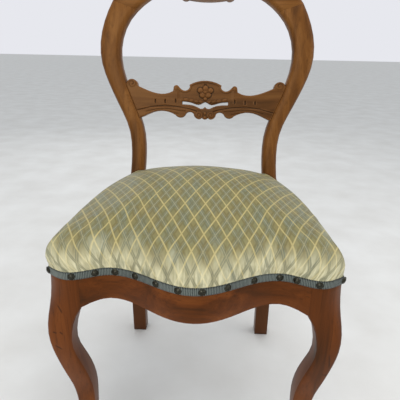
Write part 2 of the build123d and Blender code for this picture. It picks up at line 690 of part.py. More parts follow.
def block_screws(plane, grip):
    """The two screws of one corner block, from its long face into the post."""
    with BuildPart() as screws:
        with BuildSketch(plane.offset(-grip)):
            with Locations((-SCREW_SPACING / 2, 0), (SCREW_SPACING / 2, 0)):
                RegularPolygon(SCREW_RADIUS, SCREW_SIDES)
        extrude(amount=grip + BLOCK_DEPTH)
        with BuildSketch(plane.offset(BLOCK_DEPTH)):
            with Locations((-SCREW_SPACING / 2, 0), (SCREW_SPACING / 2, 0)):
                RegularPolygon(SCREW_HEAD_RADIUS, SCREW_SIDES)
        extrude(amount=SCREW_HEAD)
    return screws.part


front_block = corner_block(front_screw_plane)
rear_block = corner_block(rear_screw_plane)

with BuildPart() as corner_block_front_right:
    add(front_block)

with BuildPart() as corner_block_front_left:
    mirror(front_block, about=Plane.YZ)

with BuildPart() as corner_block_rear_right:
    add(rear_block)

with BuildPart() as corner_block_rear_left:
    mirror(rear_block, about=Plane.YZ)

with BuildPart() as corner_block_screws:
    for plane, grip in ((front_screw_plane, FRONT_SCREW_GRIP), (rear_screw_plane, REAR_SCREW_GRIP)):
        pair = block_screws(plane, grip)
        add(pair)
        mirror(pair, about=Plane.YZ)

# ---------------------------------------------------------------- webbing, springs and twine

under_area = inside_frame(WEB_REBATE - CLEARANCE) - posts(CLEARANCE)


def woven_strip(length_start, length_end, crossings, first_over):
    """A strip's side view: it goes over and under at its crossings, level with the rails at both ends."""
    flat = WEB_WIDTH / 2 + 3
    top = [(length_start, 0.0)]
    for i, crossing in enumerate(crossings):
        level = 0.0 if (i % 2 == 0) == first_over else -WEB_THICKNESS
        top += [(crossing - flat, level), (crossing + flat, level)]
    top.append((length_end, 0.0))
    bottom = [(s, z - WEB_THICKNESS) for s, z in reversed(top)]
    return Polygon(*[(s, WEB_LINE + z) for s, z in top + bottom], align=None)


with BuildPart() as webbing_lengthwise:
    for i, x in enumerate(LENGTHWISE_X):
        with BuildSketch(Plane.YZ.offset(x - WEB_WIDTH / 2)):
            crossings = [behind(d) for d in CROSSWISE_BEHIND]
            woven_strip(behind(-60), behind(REAR_RAIL_BACK), crossings, i % 2 == 0)
        extrude(amount=WEB_WIDTH)
    extrude(under_area, amount=BOX, mode=Mode.INTERSECT)

with BuildPart() as webbing_crosswise:
    for i, distance in enumerate(CROSSWISE_BEHIND):
        with BuildSketch(Plane.XZ.offset(-behind(distance) - WEB_WIDTH / 2)):
            woven_strip(-HALF_FRONT, HALF_FRONT, LENGTHWISE_X, i % 2 == 1)
        extrude(amount=WEB_WIDTH)
    extrude(under_area, amount=BOX, mode=Mode.INTERSECT)

SPRING_SIDES = 10  # straight runs in one turn


def coil_spring(x, distance):
    """An hourglass spring as one unbroken wire, its first and last turns lying flat."""
    steps = round(SPRING_TURNS * SPRING_SIDES)
    rise = SPRING_HEIGHT - SPRING_WIRE
    half = SPRING_WIRE / 2
    square = ((half, half), (-half, half), (-half, -half), (half, -half))
    points = []
    for i in range(steps + 1):
        share = i / steps
        angle = 2 * pi * i / SPRING_SIDES
        radius = SPRING_WAIST + (SPRING_RADIUS - SPRING_WAIST) * (2 * share - 1) ** 2
        climb = share - sin(2 * pi * share) / (2 * pi)
        points.append(Vector(x + radius * cos(angle), behind(distance) + radius * sin(angle),
                             WEB_LINE + SPRING_WIRE / 2 + rise * climb))
    rings = []
    for i, point in enumerate(points):
        ahead = points[min(i + 1, steps)] - points[max(i - 1, 0)]
        cut = Plane(origin=point, x_dir=Vector(point.X - x, point.Y - behind(distance), 0), z_dir=ahead)
        rings.append([cut.from_local_coords(corner) for corner in square])
    return faceted(rings)


SPRINGS = {
    "seat_spring_front_left": (LENGTHWISE_X[0], CROSSWISE_BEHIND[0]),
    "seat_spring_front_right": (LENGTHWISE_X[2], CROSSWISE_BEHIND[0]),
    "seat_spring_centre": (LENGTHWISE_X[1], CROSSWISE_BEHIND[1]),
    "seat_spring_rear_left": (LENGTHWISE_X[0], CROSSWISE_BEHIND[2]),
    "seat_spring_rear_right": (LENGTHWISE_X[2], CROSSWISE_BEHIND[2]),
}
seat_springs = {}
for name, place in SPRINGS.items():
    with BuildPart() as seat_spring:
        add(coil_spring(*place))
    seat_springs[name] = seat_spring

SPRING_TOP = WEB_LINE + SPRING_HEIGHT
TWINE_END = 8.0  # of each tied end, lying on a rail
TWINE_INSET = 2.0  # from a tied end to the rail's inner edge


def lash(start, near, far, end):
    """One lashing: tied to a rail, up over the springs, and down to the rail opposite."""
    way = (Vector(*end) - Vector(*start)).normalized()
    tied = [Vector(*start), Vector(*start) + way * TWINE_END, Vector(*end) - way * TWINE_END, Vector(*end)]
    rail = Vector(0, 0, RAIL_TOP + TWINE_RADIUS)
    with BuildLine() as line:
        Polyline(tied[0] + rail, tied[1] + rail, near, far, tied[2] + rail, tied[3] + rail)
    with BuildSketch(Plane(origin=line.line @ 0, z_dir=way)) as cut:
        RegularPolygon(TWINE_RADIUS, 4)
    return sweep(cut.sketch, path=line.line, transition=Transition.RIGHT, mode=Mode.PRIVATE)


with BuildPart() as spring_twine:
    low, high = SPRING_TOP + TWINE_RADIUS, SPRING_TOP + 3 * TWINE_RADIUS
    near, far = CROSSWISE_BEHIND[0] - SPRING_RADIUS, CROSSWISE_BEHIND[2] + SPRING_RADIUS
    for x in LENGTHWISE_X:
        start = (x, front_y(x) + RAIL_THICKNESS - TWINE_INSET - TWINE_END)
        end = (x, REAR_RAIL_Y - REAR_RAIL_THICKNESS / 2 + TWINE_INSET + TWINE_END)
        add(lash(start, (x, behind(near), low), (x, behind(far), low), end))
    left, right = LENGTHWISE_X[0] - SPRING_RADIUS, LENGTHWISE_X[2] + SPRING_RADIUS
    for distance in CROSSWISE_BEHIND:
        y = behind(distance)
        half = HALF_FRONT + (HALF_BACK - HALF_FRONT) * distance / SEAT_DEPTH - RAIL_THICKNESS / 2
        add(lash((-half, y), (left, y, high), (right, y, high), (half, y)))

# ---------------------------------------------------------------- burlap, stuffing and cover

DOME_STEPS = 16
REAR_STEPS = 3
CORNER_EASE = 1.2
OVAL_SIDE = 206.0
OVAL_FRONT = 232.0
OVAL_REAR = 196.0


def seat_outline(scale, swell, wave, roundness):
    """Points round the seat, let out, scaled about the crown, and drawn towards an oval by the roundness."""
    right = []
    for i in range(DOME_STEPS):
        x = HALF_FRONT * i / DOME_STEPS
        out = front_normal(x) * swell
        right.append((x + out.X, front_y(x, wave) - behind(0) + out.Y))
    right.append((HALF_FRONT - CORNER_EASE + swell, CORNER_EASE))
    for i in range(1, SIDE_STEPS):
        spot = side_edge @ (i / SIDE_STEPS)
        right.append((spot.X + swell, spot.Y - behind(0)))
    for i in range(REAR_STEPS + 1):
        right.append((HALF_REAR * (1 - i / REAR_STEPS), REAR_RAIL_BACK + swell))
    points = []
    for x, distance in right:
        along = distance - CROWN_BEHIND
        reach = hypot(x, along)
        oval_half = OVAL_FRONT if along < 0 else OVAL_REAR
        oval = 1 / hypot(x / reach / OVAL_SIDE, along / reach / oval_half)
        grow = scale * (1 - roundness + roundness * oval / reach)
        points.append((x * grow, behind(CROWN_BEHIND) + along * grow))
    return [*points, *[(-x, y) for x, y in points[-2:0:-1]]]


def seat_ring(step, height, *station):
    """Every so many points of a level cut through the seat."""
    return [Vector(x, y, height) for x, y in seat_outline(*station)[::step]]


# Height, scale, letting out, depth of the front's wave, roundness.
SEAT_STATIONS = (
    (COVER_LINE + 0.5, 1.0, -1.3, 1.0, 0.0),
    (GIMP_TOP + 1, 1.0, -1.2, 1.0, 0.0),
    (RAIL_TOP, 1.0, 1.0, 0.99, 0.02),
    (423, 1.0, 3.5, 0.97, 0.05),
    (440, 0.95, 2.5, 0.92, 0.14),
    (456, 0.85, 0.5, 0.86, 0.26),
    (473, 0.66, 0.0, 0.81, 0.44),
    (488, 0.42, 0.0, 0.76, 0.68),
    (498, 0.2, 0.0, 0.7, 0.88),
    (SEAT_CROWN, 0.03, 0.0, 0.6, 1.0),
)
PADDING_DROP = 1.5  # how much lower the padding's stations lie where the seat is domed
PADDING_INSET = 1.2
BURLAP_STATIONS = ((RAIL_TOP, 0.96, 0, 1.0, 0.02), (437, 0.9, 0, 0.95, 0.1), (454.6, 0.75, 0, 0.9, 0.15))
behind_seat = posts(CLEARANCE) - Pos(0, behind(0)) * Rectangle(BOX, SEAT_DEPTH)
stile_room = raised(behind_seat, COVER_LINE - 1, SEAT_CROWN)
outer_dome = faceted([seat_ring(1, *row) for row in SEAT_STATIONS])
padding_dome = faceted([
    seat_ring(1, z - PADDING_DROP * (scale < 1), scale - 0.01 * (scale < 1), swell - PADDING_INSET, *shape)
    for z, scale, swell, *shape in SEAT_STATIONS
])
burlap_dome = faceted([seat_ring(2, *row) for row in BURLAP_STATIONS])
burlap_room = faceted([
    seat_ring(2, z - BURLAP_THICKNESS * (z > RAIL_TOP), scale - 0.006, *shape)
    for z, scale, *shape in BURLAP_STATIONS
])


def hollow(outside, inside):
    """The layer between two domes that stand on one plane, open below."""
    outer_faces = outside.faces().sort_by(Axis.Z)
    inner_faces = inside.faces().sort_by(Axis.Z)
    rim = Face(outer_faces[0].outer_wire(), [inner_faces[0].outer_wire()])
    return Solid(Shell([rim, *outer_faces[1:], *inner_faces[1:]]))


with BuildPart() as burlap_cover:
    add(hollow(burlap_dome, burlap_room))
    add(stile_room, mode=Mode.SUBTRACT)

with BuildPart() as seat_stuffing:
    add(padding_dome)
    split(bisect_by=Plane.XY.offset(RAIL_TOP), keep=Keep.TOP)
    add(burlap_dome, mode=Mode.SUBTRACT)
    add(stile_room, mode=Mode.SUBTRACT)

with BuildPart() as seat_cover:
    add(hollow(outer_dome, padding_dome))
    add(stile_room, mode=Mode.SUBTRACT)

# ---------------------------------------------------------------- gimp, nails and dust cover

with BuildPart() as gimp_trim:
    add(raised(plan_face(-GIMP_PROUD) - plan_face(GIMP_SEAT), COVER_LINE + 0.2, GIMP_TOP))
    add(stile_room, mode=Mode.SUBTRACT)


def nail_place(spot, out):
    """The plane that a nail's head sits on, just off the gimp, with its Z outwards."""
    origin = Vector(spot.X, spot.Y, NAIL_LINE) + out * (GIMP_PROUD + CLEARANCE)
    return Plane(origin=origin, x_dir=(0, 0, 1), z_dir=out)


nail_places = [nail_place(Vector(x, front_y(x)), front_normal(x)) for x in FRONT_NAILS_X]
for side in (1, -1):
    corner_out = Vector(side, -1, 0).normalized()
    nail_places.append(nail_place(Vector(side * HALF_FRONT, behind(0)), corner_out))
    for i in range(SIDE_NAILS):
        share = SIDE_NAIL_FIRST + (SIDE_NAIL_LAST - SIDE_NAIL_FIRST) * i / (SIDE_NAILS - 1)
        spot, run = side_edge @ share, side_edge % share
        nail_places.append(nail_place(Vector(side * spot.X, spot.Y), Vector(side * run.Y, -run.X, 0)))
for i in range(REAR_NAILS):
    x = (i - (REAR_NAILS - 1) / 2) * REAR_NAIL_SPACING
    nail_places.append(nail_place(Vector(x, behind(REAR_RAIL_BACK)), Vector(0, 1, 0)))


def nail_head(place):
    """A six-sided head with its edge turned down."""
    angles = [2 * pi * i / 6 for i in range(6)]
    rim = NAIL_HEIGHT - NAIL_CROWN
    levels = ((NAIL_RADIUS, 0), (NAIL_RADIUS, rim), (NAIL_RADIUS - NAIL_CROWN, NAIL_HEIGHT))
    return faceted([
        [place.from_local_coords((radius * cos(a), radius * sin(a), out)) for a in angles]
        for radius, out in levels
    ])


with BuildPart() as trim_nails:
    for place in nail_places:
        add(nail_head(place))

with BuildPart() as dust_cover:
    add(raised(under_area, DUST_COVER_Z, DUST_COVER_Z + DUST_COVER_THICKNESS))

# ---------------------------------------------------------------- the finished pieces

pieces = {
    "rear_leg_stile_right": rear_leg_stile_right,
    "rear_leg_stile_left": rear_leg_stile_left,
    "crest_rail": crest_rail,
    "crest_dowels": crest_dowels,
    "cross_rail": cross_rail,
    "front_leg_right": front_leg_right,
    "front_leg_left": front_leg_left,
    "front_seat_rail": front_seat_rail,
    "side_seat_rail_right": side_seat_rail_right,
    "side_seat_rail_left": side_seat_rail_left,
    "rear_seat_rail": rear_seat_rail,
    "corner_block_front_right": corner_block_front_right,
    "corner_block_front_left": corner_block_front_left,
    "corner_block_rear_right": corner_block_rear_right,
    "corner_block_rear_left": corner_block_rear_left,
    "corner_block_screws": corner_block_screws,
    "webbing_lengthwise": webbing_lengthwise,
    "webbing_crosswise": webbing_crosswise,
    **seat_springs,
    "spring_twine": spring_twine,
    "burlap_cover": burlap_cover,
    "seat_stuffing": seat_stuffing,
    "seat_cover": seat_cover,
    "gimp_trim": gimp_trim,
    "trim_nails": trim_nails,
    "dust_cover": dust_cover,
}
for name, piece in pieces.items():
    piece.part.label = name
    export_step(piece.part, f"parts/{name}.step")
    box = piece.part.bounding_box()
    corners = [round(v, 1) for v in (*box.min, *box.max)]
    print(name, round(piece.part.volume), len(piece.part.solids()), piece.part.is_valid, corners)
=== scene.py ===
"""The balloon back chair's looks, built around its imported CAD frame. Metres, +Z up, +Y to the back."""

import math

import bpy
import numpy as np
from mathutils import Matrix, Vector


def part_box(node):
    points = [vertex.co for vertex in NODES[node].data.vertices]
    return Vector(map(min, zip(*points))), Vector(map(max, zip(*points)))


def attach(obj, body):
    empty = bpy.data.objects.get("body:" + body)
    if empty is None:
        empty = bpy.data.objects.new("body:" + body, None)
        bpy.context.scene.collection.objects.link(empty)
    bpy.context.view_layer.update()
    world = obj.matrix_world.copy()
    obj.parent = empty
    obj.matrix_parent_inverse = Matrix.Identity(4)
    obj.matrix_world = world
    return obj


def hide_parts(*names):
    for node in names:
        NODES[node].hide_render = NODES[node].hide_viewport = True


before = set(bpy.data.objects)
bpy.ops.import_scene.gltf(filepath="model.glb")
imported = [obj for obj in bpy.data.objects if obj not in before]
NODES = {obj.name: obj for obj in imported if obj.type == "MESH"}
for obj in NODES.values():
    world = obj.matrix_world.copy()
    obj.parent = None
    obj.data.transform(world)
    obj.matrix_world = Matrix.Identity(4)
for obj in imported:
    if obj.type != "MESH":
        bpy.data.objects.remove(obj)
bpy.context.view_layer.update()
scene = bpy.context.scene
scene.view_settings.view_transform = "Standard"
MM = 0.001
X_AXIS, Y_AXIS, Z_AXIS = 0, 1, 2


def held(value):
    """The value, held between 0 and 1."""
    return np.clip(value, 0, 1)


def add(name, data):
    """A new object in the scene."""
    made = bpy.data.objects.new(name, data)
    scene.collection.objects.link(made)
    return made


# ---- camera, fitted to the photograph's

YAW, PITCH, ROLL = math.radians(-1.8), math.radians(19.24), math.radians(1.13)
CAMERA_PLACE = (0.02438, -0.80526, 0.72241)
PICTURE_PX = 400  # the photograph's width and height
FOCAL_PX = 447.0
SENSOR = 36.0
NEAREST_SEEN = 0.01
ahead = Vector((math.sin(YAW) * math.cos(PITCH), math.cos(YAW) * math.cos(PITCH), -math.sin(PITCH)))
level = Vector((math.cos(YAW), -math.sin(YAW), 0))
above = level.cross(ahead)
right = math.cos(ROLL) * level + math.sin(ROLL) * above
above = -math.sin(ROLL) * level + math.cos(ROLL) * above
camera = add("camera", bpy.data.cameras.new("camera"))
camera.data.sensor_width = SENSOR
camera.data.lens = FOCAL_PX * SENSOR / PICTURE_PX
camera.data.clip_start = NEAREST_SEEN
turned = Matrix((right, above, -ahead)).transposed().to_4x4()
camera.matrix_world = Matrix.Translation(CAMERA_PLACE) @ turned
scene.camera = camera


def seen_at(across, down, y):
    """The point that a pixel of the photograph shows on an upright plane that faces the front."""
    middle = PICTURE_PX / 2
    ray = ahead + right * ((across - middle) / FOCAL_PX) - above * ((down - middle) / FOCAL_PX)
    start = camera.matrix_world.translation
    return start + ray * ((y - start.y) / ray.y)


# ---- shaders


def srgb(*parts):
    """A linear RGBA colour from screen values of 0 to 255."""
    shares = [p / 255 for p in parts]
    linear = [v / 12.92 if v <= 0.04045 else ((v + 0.055) / 1.055) ** 2.4 for v in shares]
    return (*linear, 1.0)


class Shader:
    """One procedural material, made node by node."""

    # the colour sockets of Blender's Mix node
    MIX_FIRST, MIX_SECOND, MIX_RESULT = 6, 7, 2

    def __init__(self, name):
        self.material = bpy.data.materials.new(name)
        self.material.use_nodes = True
        self.tree = self.material.node_tree
        self.tree.nodes.clear()
        self.bsdf = self.node("BsdfPrincipled")
        out = self.node("OutputMaterial")
        self.tree.links.new(self.bsdf.outputs[0], out.inputs[0])

    def node(self, kind, values=None, **settings):
        node = self.tree.nodes.new("ShaderNode" + kind)
        for key, value in settings.items():
            setattr(node, key, value)
        for key, value in (values or {}).items():
            self.put(node.inputs[key], value)
        return node

    def put(self, socket, value):
        if isinstance(value, bpy.types.NodeSocket):
            self.tree.links.new(value, socket)
        else:
            socket.default_value = value

    def math(self, operation, *values):
        return self.node("Math", dict(enumerate(values)), operation=operation).outputs[0]

    def times(self, first, second):
        return self.math("MULTIPLY", first, second)

    def minus(self, first, second):
        return self.math("SUBTRACT", first, second)

    def fit(self, value, factor, plus):
        return self.math("MULTIPLY_ADD", value, factor, plus)

    def share(self, value, start, end, top=1.0, **settings):
        """0 where the value is at start, and top where it is at end."""
        values = {"Value": value, "From Min": start, "From Max": end, "To Max": top}
        return self.node("MapRange", values, **settings).outputs[0]

    def own_coords(self):
        return self.node("TexCoord").outputs["Object"]

    def height(self):
        return self.parts(self.own_coords())[Z_AXIS]

    def parts(self, vector):
        return self.node("SeparateXYZ", {0: vector}).outputs

    def scaled(self, vector, scale):
        return self.node("Mapping", {"Vector": vector, "Scale": scale}).outputs[0]

    def coords(self, scale=(1, 1, 1)):
        return self.scaled(self.own_coords(), scale)

    def noise(self, vector, scale, detail=3.0, roughness=0.5, distortion=0.0):
        values = {"Vector": vector, "Scale": scale, "Detail": detail, "Roughness": roughness,
                  "Distortion": distortion}
        return self.node("TexNoise", values).outputs["Fac"]

    def wave(self, vector, scale, distortion, detail, direction):
        values = {"Vector": vector, "Scale": scale, "Distortion": distortion, "Detail": detail}
        return self.node("TexWave", values, bands_direction=direction).outputs["Fac"]

    def ramp(self, factor, *stops):
        """A colour ramp. A stop's second value is a colour, or a number for a grey."""
        node = self.node("ValToRGB", {"Fac": factor})
        elements = node.color_ramp.elements
        while len(elements) < len(stops):
            elements.new(0.5)
        for element, (position, colour) in zip(elements, stops):
            element.position = position
            element.color = colour if hasattr(colour, "__len__") else (colour, colour, colour, 1)
        return node.outputs[0]

    def mix(self, factor, first, second, blend="MIX"):
        node = self.node("Mix", data_type="RGBA", blend_type=blend)
        self.put(node.inputs[0], factor)
        self.put(node.inputs[self.MIX_FIRST], first)
        self.put(node.inputs[self.MIX_SECOND], second)
        return node.outputs[self.MIX_RESULT]

    def bump(self, height, distance, strength, under=None):
        values = {"Height": height, "Distance": distance, "Strength": strength}
        if under is not None:
            values["Normal"] = under
        return self.node("Bump", values).outputs[0]

    def finish(self, colour, roughness, normal=None, **plain):
        self.put(self.bsdf.inputs["Base Color"], colour)
        self.put(self.bsdf.inputs["Roughness"], roughness)
        if normal is not None:
            self.put(self.bsdf.inputs["Normal"], normal)
        for key, value in plain.items():
            self.put(self.bsdf.inputs[key.replace("_", " ")], value)
        return self.material


# ---- floor, background and light

FLOOR_HALF = 25.0
FLOOR_TONES = (srgb(211, 210, 207), srgb(221, 221, 219))
LIT_COLOUR, LIT_STRENGTH = (0.93, 0.96, 1.0, 1), 0.77
BACKDROP = srgb(231, 232, 238)
SEAT_MIDDLE = (0, 0, 0.5)


def floor_material():
    look = Shader("floor_cloth")
    fine = look.noise(look.coords(), 6.0, 4)
    colour = look.ramp(fine, (0.3, FLOOR_TONES[0]), (0.7, FLOOR_TONES[1]))
    return look.finish(colour, 0.9, Specular_IOR_Level=0.1)


floor_mesh = bpy.data.meshes.new("floor")
floor_corners = [(x * FLOOR_HALF, y * FLOOR_HALF, 0) for x, y in ((-1, -1), (1, -1), (1, 1), (-1, 1))]
floor_mesh.from_pydata(floor_corners, [], [(0, 1, 2, 3)])
floor = add("floor", floor_mesh)
floor_mesh.materials.append(floor_material())


def studio_world():
    """Soft light all round, and a plain pale backdrop where the camera looks past the floor."""
    world = bpy.data.worlds.new("world")
    scene.world = world
    world.use_nodes = True
    world.node_tree.nodes.clear()
    nodes, links = world.node_tree.nodes, world.node_tree.links
    either = nodes.new("ShaderNodeMixShader")
    links.new(nodes.new("ShaderNodeLightPath").outputs["Is Camera Ray"], either.inputs[0])
    for socket, (colour, strength) in enumerate(((LIT_COLOUR, LIT_STRENGTH), (BACKDROP, 1.0)), 1):
        background = nodes.new("ShaderNodeBackground")
        background.inputs[0].default_value = colour
        background.inputs[1].default_value = strength
        links.new(background.outputs[0], either.inputs[socket])
    links.new(either.outputs[0], nodes.new("ShaderNodeOutputWorld").inputs[0])


studio_world()


def area_light(name, place, size, power, colour=(1, 1, 1)):
    """A square lamp that faces the seat."""
    light = bpy.data.lights.new(name, "AREA")
    light.size = size
    light.energy = power
    light.color = colour
    lamp = add(name, light)
    lamp.location = place
    facing = Vector(SEAT_MIDDLE) - Vector(place)
    lamp.rotation_euler = facing.to_track_quat("-Z", "Y").to_euler()


area_light("window_front", (-0.7, -2.4, 1.5), 1.6, 31, (1.0, 0.98, 0.95))
area_light("ceiling", (0.5, -0.3, 2.6), 1.8, 20, (1.0, 0.97, 0.93))
area_light("side_right", (2.2, -0.6, 1.2), 1.4, 9)
area_light("behind", (-0.6, 2.4, 1.8), 1.6, 9)

# ---- wood

GRAIN, PORES = (34.0, 2.4), (330.0, 9.0)  # how fine each is across and along the wood
SHOW = (srgb(52, 25, 8), srgb(84, 41, 13), srgb(106, 56, 21))
BACK = (srgb(64, 36, 14), srgb(98, 60, 25), srgb(122, 80, 38))
CARVED = (srgb(54, 31, 12), srgb(82, 49, 21), srgb(98, 63, 30))
CARVED_HOLLOW, CARVED_WORN = srgb(28, 15, 8), srgb(132, 88, 50)
FRAME_WOOD = (srgb(128, 92, 58), srgb(168, 128, 86), srgb(192, 154, 108))
AMBER = (1.0, 0.64, 0.36, 1)  # the tint of the polish
POLISH = 0.26  # the polish's specular level
# the rear legs' tone below the seat: painted shade under the seat, with a redder polish
REAR_SHADE_RED = srgb(74, 34, 17)
FOOT_TOP, FOOT_FULL, FOOT_SHARE = 0.47, 0.34, 0.85  # the rear legs darken and redden below the seat: painted shade under the seat, with a redder polish
# painted shade: a near-black brown mixed into the wood where ambient occlusion finds crevices, joints and the
# underside of the gimp
CREVICE_SHADE, CREVICE_SHADE_REACH, CREVICE_SHADE_SHARE = srgb(20, 11, 6), 0.007, 0.7
MARK_BROWN, MARK_SHARE = srgb(26, 14, 8), 0.85
MARK_WIDTH, MARK_WANDER = 0.0019, 0.004
LEG_FACE_Y = -0.226  # the front legs' knees face the front here
# dents and scratches, as the pixels that their ends have in the photograph
LEG_MARKS = ((57.4, 304.2, 63.7, 312.2), (53.0, 330.3, 58.0, 331.5), (60.5, 330.0, 64.0, 333.0),
             (55.0, 344.0, 63.7, 349.0), (321.0, 377.0, 337.0, 379.0), (329.0, 352.0, 329.5, 371.0))


def marked_places():
    """The ends of each mark on the legs, as x and z."""
    ends = [(seen_at(u0, v0, LEG_FACE_Y), seen_at(u1, v1, LEG_FACE_Y)) for u0, v0, u1, v1 in LEG_MARKS]
    return [((a.x, a.z), (b.x, b.z)) for a, b in ends]


def mark_cover(look, wander, start, end):
    """How much a thin scratch covers that runs between two points, each given as x and z."""
    (x0, z0), (x1, z1) = start, end
    place = look.parts(look.own_coords())
    length = math.hypot(x1 - x0, z1 - z0)
    c, s = (x1 - x0) / length, (z1 - z0) / length
    dx = look.minus(place[X_AXIS], (x0 + x1) / 2)
    dz = look.minus(place[Z_AXIS], (z0 + z1) / 2)
    run = look.fit(dx, c, look.times(dz, s))
    off = look.fit(dz, c, look.times(dx, -s))
    off = look.fit(look.minus(wander, 0.5), MARK_WANDER, off)
    thin = look.share(look.math("ABSOLUTE", off), MARK_WIDTH, 0.0)
    ends = look.share(look.math("ABSOLUTE", run), length / 2, length / 4)
    return look.times(look.times(thin, ends), MARK_SHARE)


def drawn_out(fineness, along):
    """The scale of a pattern that is drawn out along one axis."""
    return [fineness[1] if axis == along else fineness[0] for axis in (X_AXIS, Y_AXIS, Z_AXIS)]


def wood(name, along, dark, middle, light, rough=0.36, foot=None, marks=()):
    """Satin polished wood with its grain along an axis, and foot as its tone below the seat: painted shade
    under the seat, with a redder polish.
    """
    look = Shader(name)
    figure = look.noise(look.coords(drawn_out(GRAIN, along)), 1.0, 5, 0.62, 0.9)
    pores = look.noise(look.coords(drawn_out(PORES, along)), 1.0, 3, 0.6, 0.15)
    broad = look.noise(look.coords((6, 6, 6)), 1.0, 2, 0.5)
    tone = look.math("ADD", look.times(figure, 0.72), look.times(broad, 0.34))
    colour = look.ramp(tone, (0.36, dark), (0.52, middle), (0.68, light))
    if foot is not None:
        # painted shade: below the seat the wood darkens and reddens towards foot, for the shade under the
        # seat and a redder polish
        low = look.share(look.height(), FOOT_TOP, FOOT_FULL, FOOT_SHARE)
        colour = look.mix(low, colour, look.mix(figure, dark, foot))
    for start, end in marks:
        colour = look.mix(mark_cover(look, figure, start, end), colour, MARK_BROWN)
    # painted shade: the wood darkens where ambient occlusion finds it hidden, in crevices, joints and under
    # the gimp
    hidden = look.node("AmbientOcclusion", {"Distance": CREVICE_SHADE_REACH}, samples=6).outputs["AO"]
    crevice_shade = look.ramp(hidden, (0.30, 1.0), (0.72, 0.0))
    colour = look.mix(look.times(crevice_shade, CREVICE_SHADE_SHARE), colour, CREVICE_SHADE)
    pore_mask = look.ramp(pores, (0.30, 0.0), (0.44, 1.0))
    colour = look.mix(0.55, colour, look.mix(pore_mask, dark, colour))
    roughness = look.fit(broad, 0.16, rough - 0.06)
    normal = look.bump(pores, 0.00010, 0.35, look.bump(figure, 0.0003, 0.22))
    return look.finish(colour, roughness, normal, Specular_IOR_Level=POLISH, Specular_Tint=AMBER)


def carved_wood():
    """The back's wood with darker polish left in its hollows."""
    look = Shader("show_wood_carved")
    figure = look.noise(look.coords(drawn_out(GRAIN, X_AXIS)), 1.0, 5, 0.62, 0.9)
    pores = look.noise(look.coords(drawn_out(PORES, X_AXIS)), 1.0, 3, 0.6)
    colour = look.ramp(figure, (0.34, CARVED[0]), (0.52, CARVED[1]), (0.68, CARVED[2]))
    depth = look.node("Attribute", attribute_name="hollow").outputs["Fac"]
    hollow = look.ramp(depth, (0.52, 0.0), (0.78, 1.0))
    worn = look.ramp(depth, (0.22, 1.0), (0.46, 0.0))
    colour = look.mix(look.times(hollow, 0.86), colour, CARVED_HOLLOW)
    colour = look.mix(look.times(worn, 0.40), colour, CARVED_WORN)
    return look.finish(colour, 0.36, look.bump(pores, 0.0001, 0.35), Specular_IOR_Level=POLISH,
                         Specular_Tint=AMBER)


wood_front = wood("show_wood_front", X_AXIS, *SHOW)
wood_side = wood("show_wood_side", Y_AXIS, *SHOW)
wood_leg = wood("show_wood_leg", Z_AXIS, *SHOW, marks=marked_places())
wood_stile = wood("show_wood_stile", Z_AXIS, *BACK, rough=0.38, foot=REAR_SHADE_RED)
wood_crest = wood("show_wood_crest", X_AXIS, *BACK, rough=0.38)
wood_raw = wood("frame_wood_raw", X_AXIS, *FRAME_WOOD, rough=0.7)
wood_carved = carved_wood()

# ---- metal and plain cloth


def metal(name, dark, light, rough, grain):
    look = Shader(name)
    patch = look.noise(look.coords(), grain, 4, 0.6)
    colour = look.ramp(patch, (0.3, dark), (0.7, light))
    roughness = look.fit(patch, 0.25, rough - 0.12)
    return look.finish(colour, roughness, look.bump(patch, 0.00006, 0.5), Metallic=1.0)


bronze = metal("nail_bronze", srgb(30, 31, 27), srgb(74, 72, 62), 0.34, 700)
steel = metal("spring_steel", srgb(70, 68, 64), srgb(120, 116, 110), 0.4, 300)
screw = metal("screw_steel", srgb(120, 116, 108), srgb(160, 156, 148), 0.35, 500)

WAVE_TURN = 6.283  # a wave texture's scale for one band in each metre


def cloth(name, dark, light, threads, depth=0.0003):
    """A plain weave of threads that cross, counted in threads for each metre."""
    look = Shader(name)
    over, under = (look.wave(look.coords(), threads / WAVE_TURN, 0.6, 1.0, way) for way in "XY")
    weave = look.math("MAXIMUM", over, under)
    blotch = look.noise(look.coords(), 25.0, 4)
    tone = look.math("ADD", look.times(weave, 0.6), look.times(blotch, 0.4))
    colour = look.ramp(tone, (0.2, dark), (0.8, light))
    return look.finish(colour, 0.9, look.bump(weave, depth, 0.7), Specular_IOR_Level=0.2,
                         Sheen_Weight=0.2)


jute = cloth("webbing_jute", srgb(116, 92, 58), srgb(176, 148, 104), 520, depth=0.0006)
twine_jute = cloth("twine_jute", srgb(132, 108, 70), srgb(186, 160, 112), 900)
cambric = cloth("dust_cambric", srgb(18, 18, 18), srgb(42, 42, 42), 1100)

# ---- tapestry and braid

DIAMOND_WIDE, DIAMOND_TALL = 0.0330, 0.0715  # one diamond of the gold lattice, on the flat cloth
LATTICE_ACROSS, LATTICE_ALONG = 0.0125, 0.0175  # where the lattice starts on the flat cloth
GOLD_HALF, GREY_HALF, FINE_HALF, PALE_HALF = 0.038, 0.075, 0.13, 0.022  # half widths in diamonds
GOLD_THREAD, GREY_THREAD, PALE_THREAD = srgb(238, 222, 156), srgb(126, 140, 132), srgb(226, 214, 166)
FINE_THREAD, GROUND_STREAK = srgb(120, 112, 74), srgb(176, 170, 118)
WARP_DARK, WARP_LIGHT = srgb(120, 114, 80), srgb(214, 206, 160)
TOP_SHADE = (0.56, 0.555, 0.56, 1)
# painted highlight: a cream band painted on the cushion's front, fading in between these two heights
HIGHLIGHT_TOP, HIGHLIGHT_FULL, HIGHLIGHT_CREAM = 0.503, 0.463, srgb(228, 222, 186)


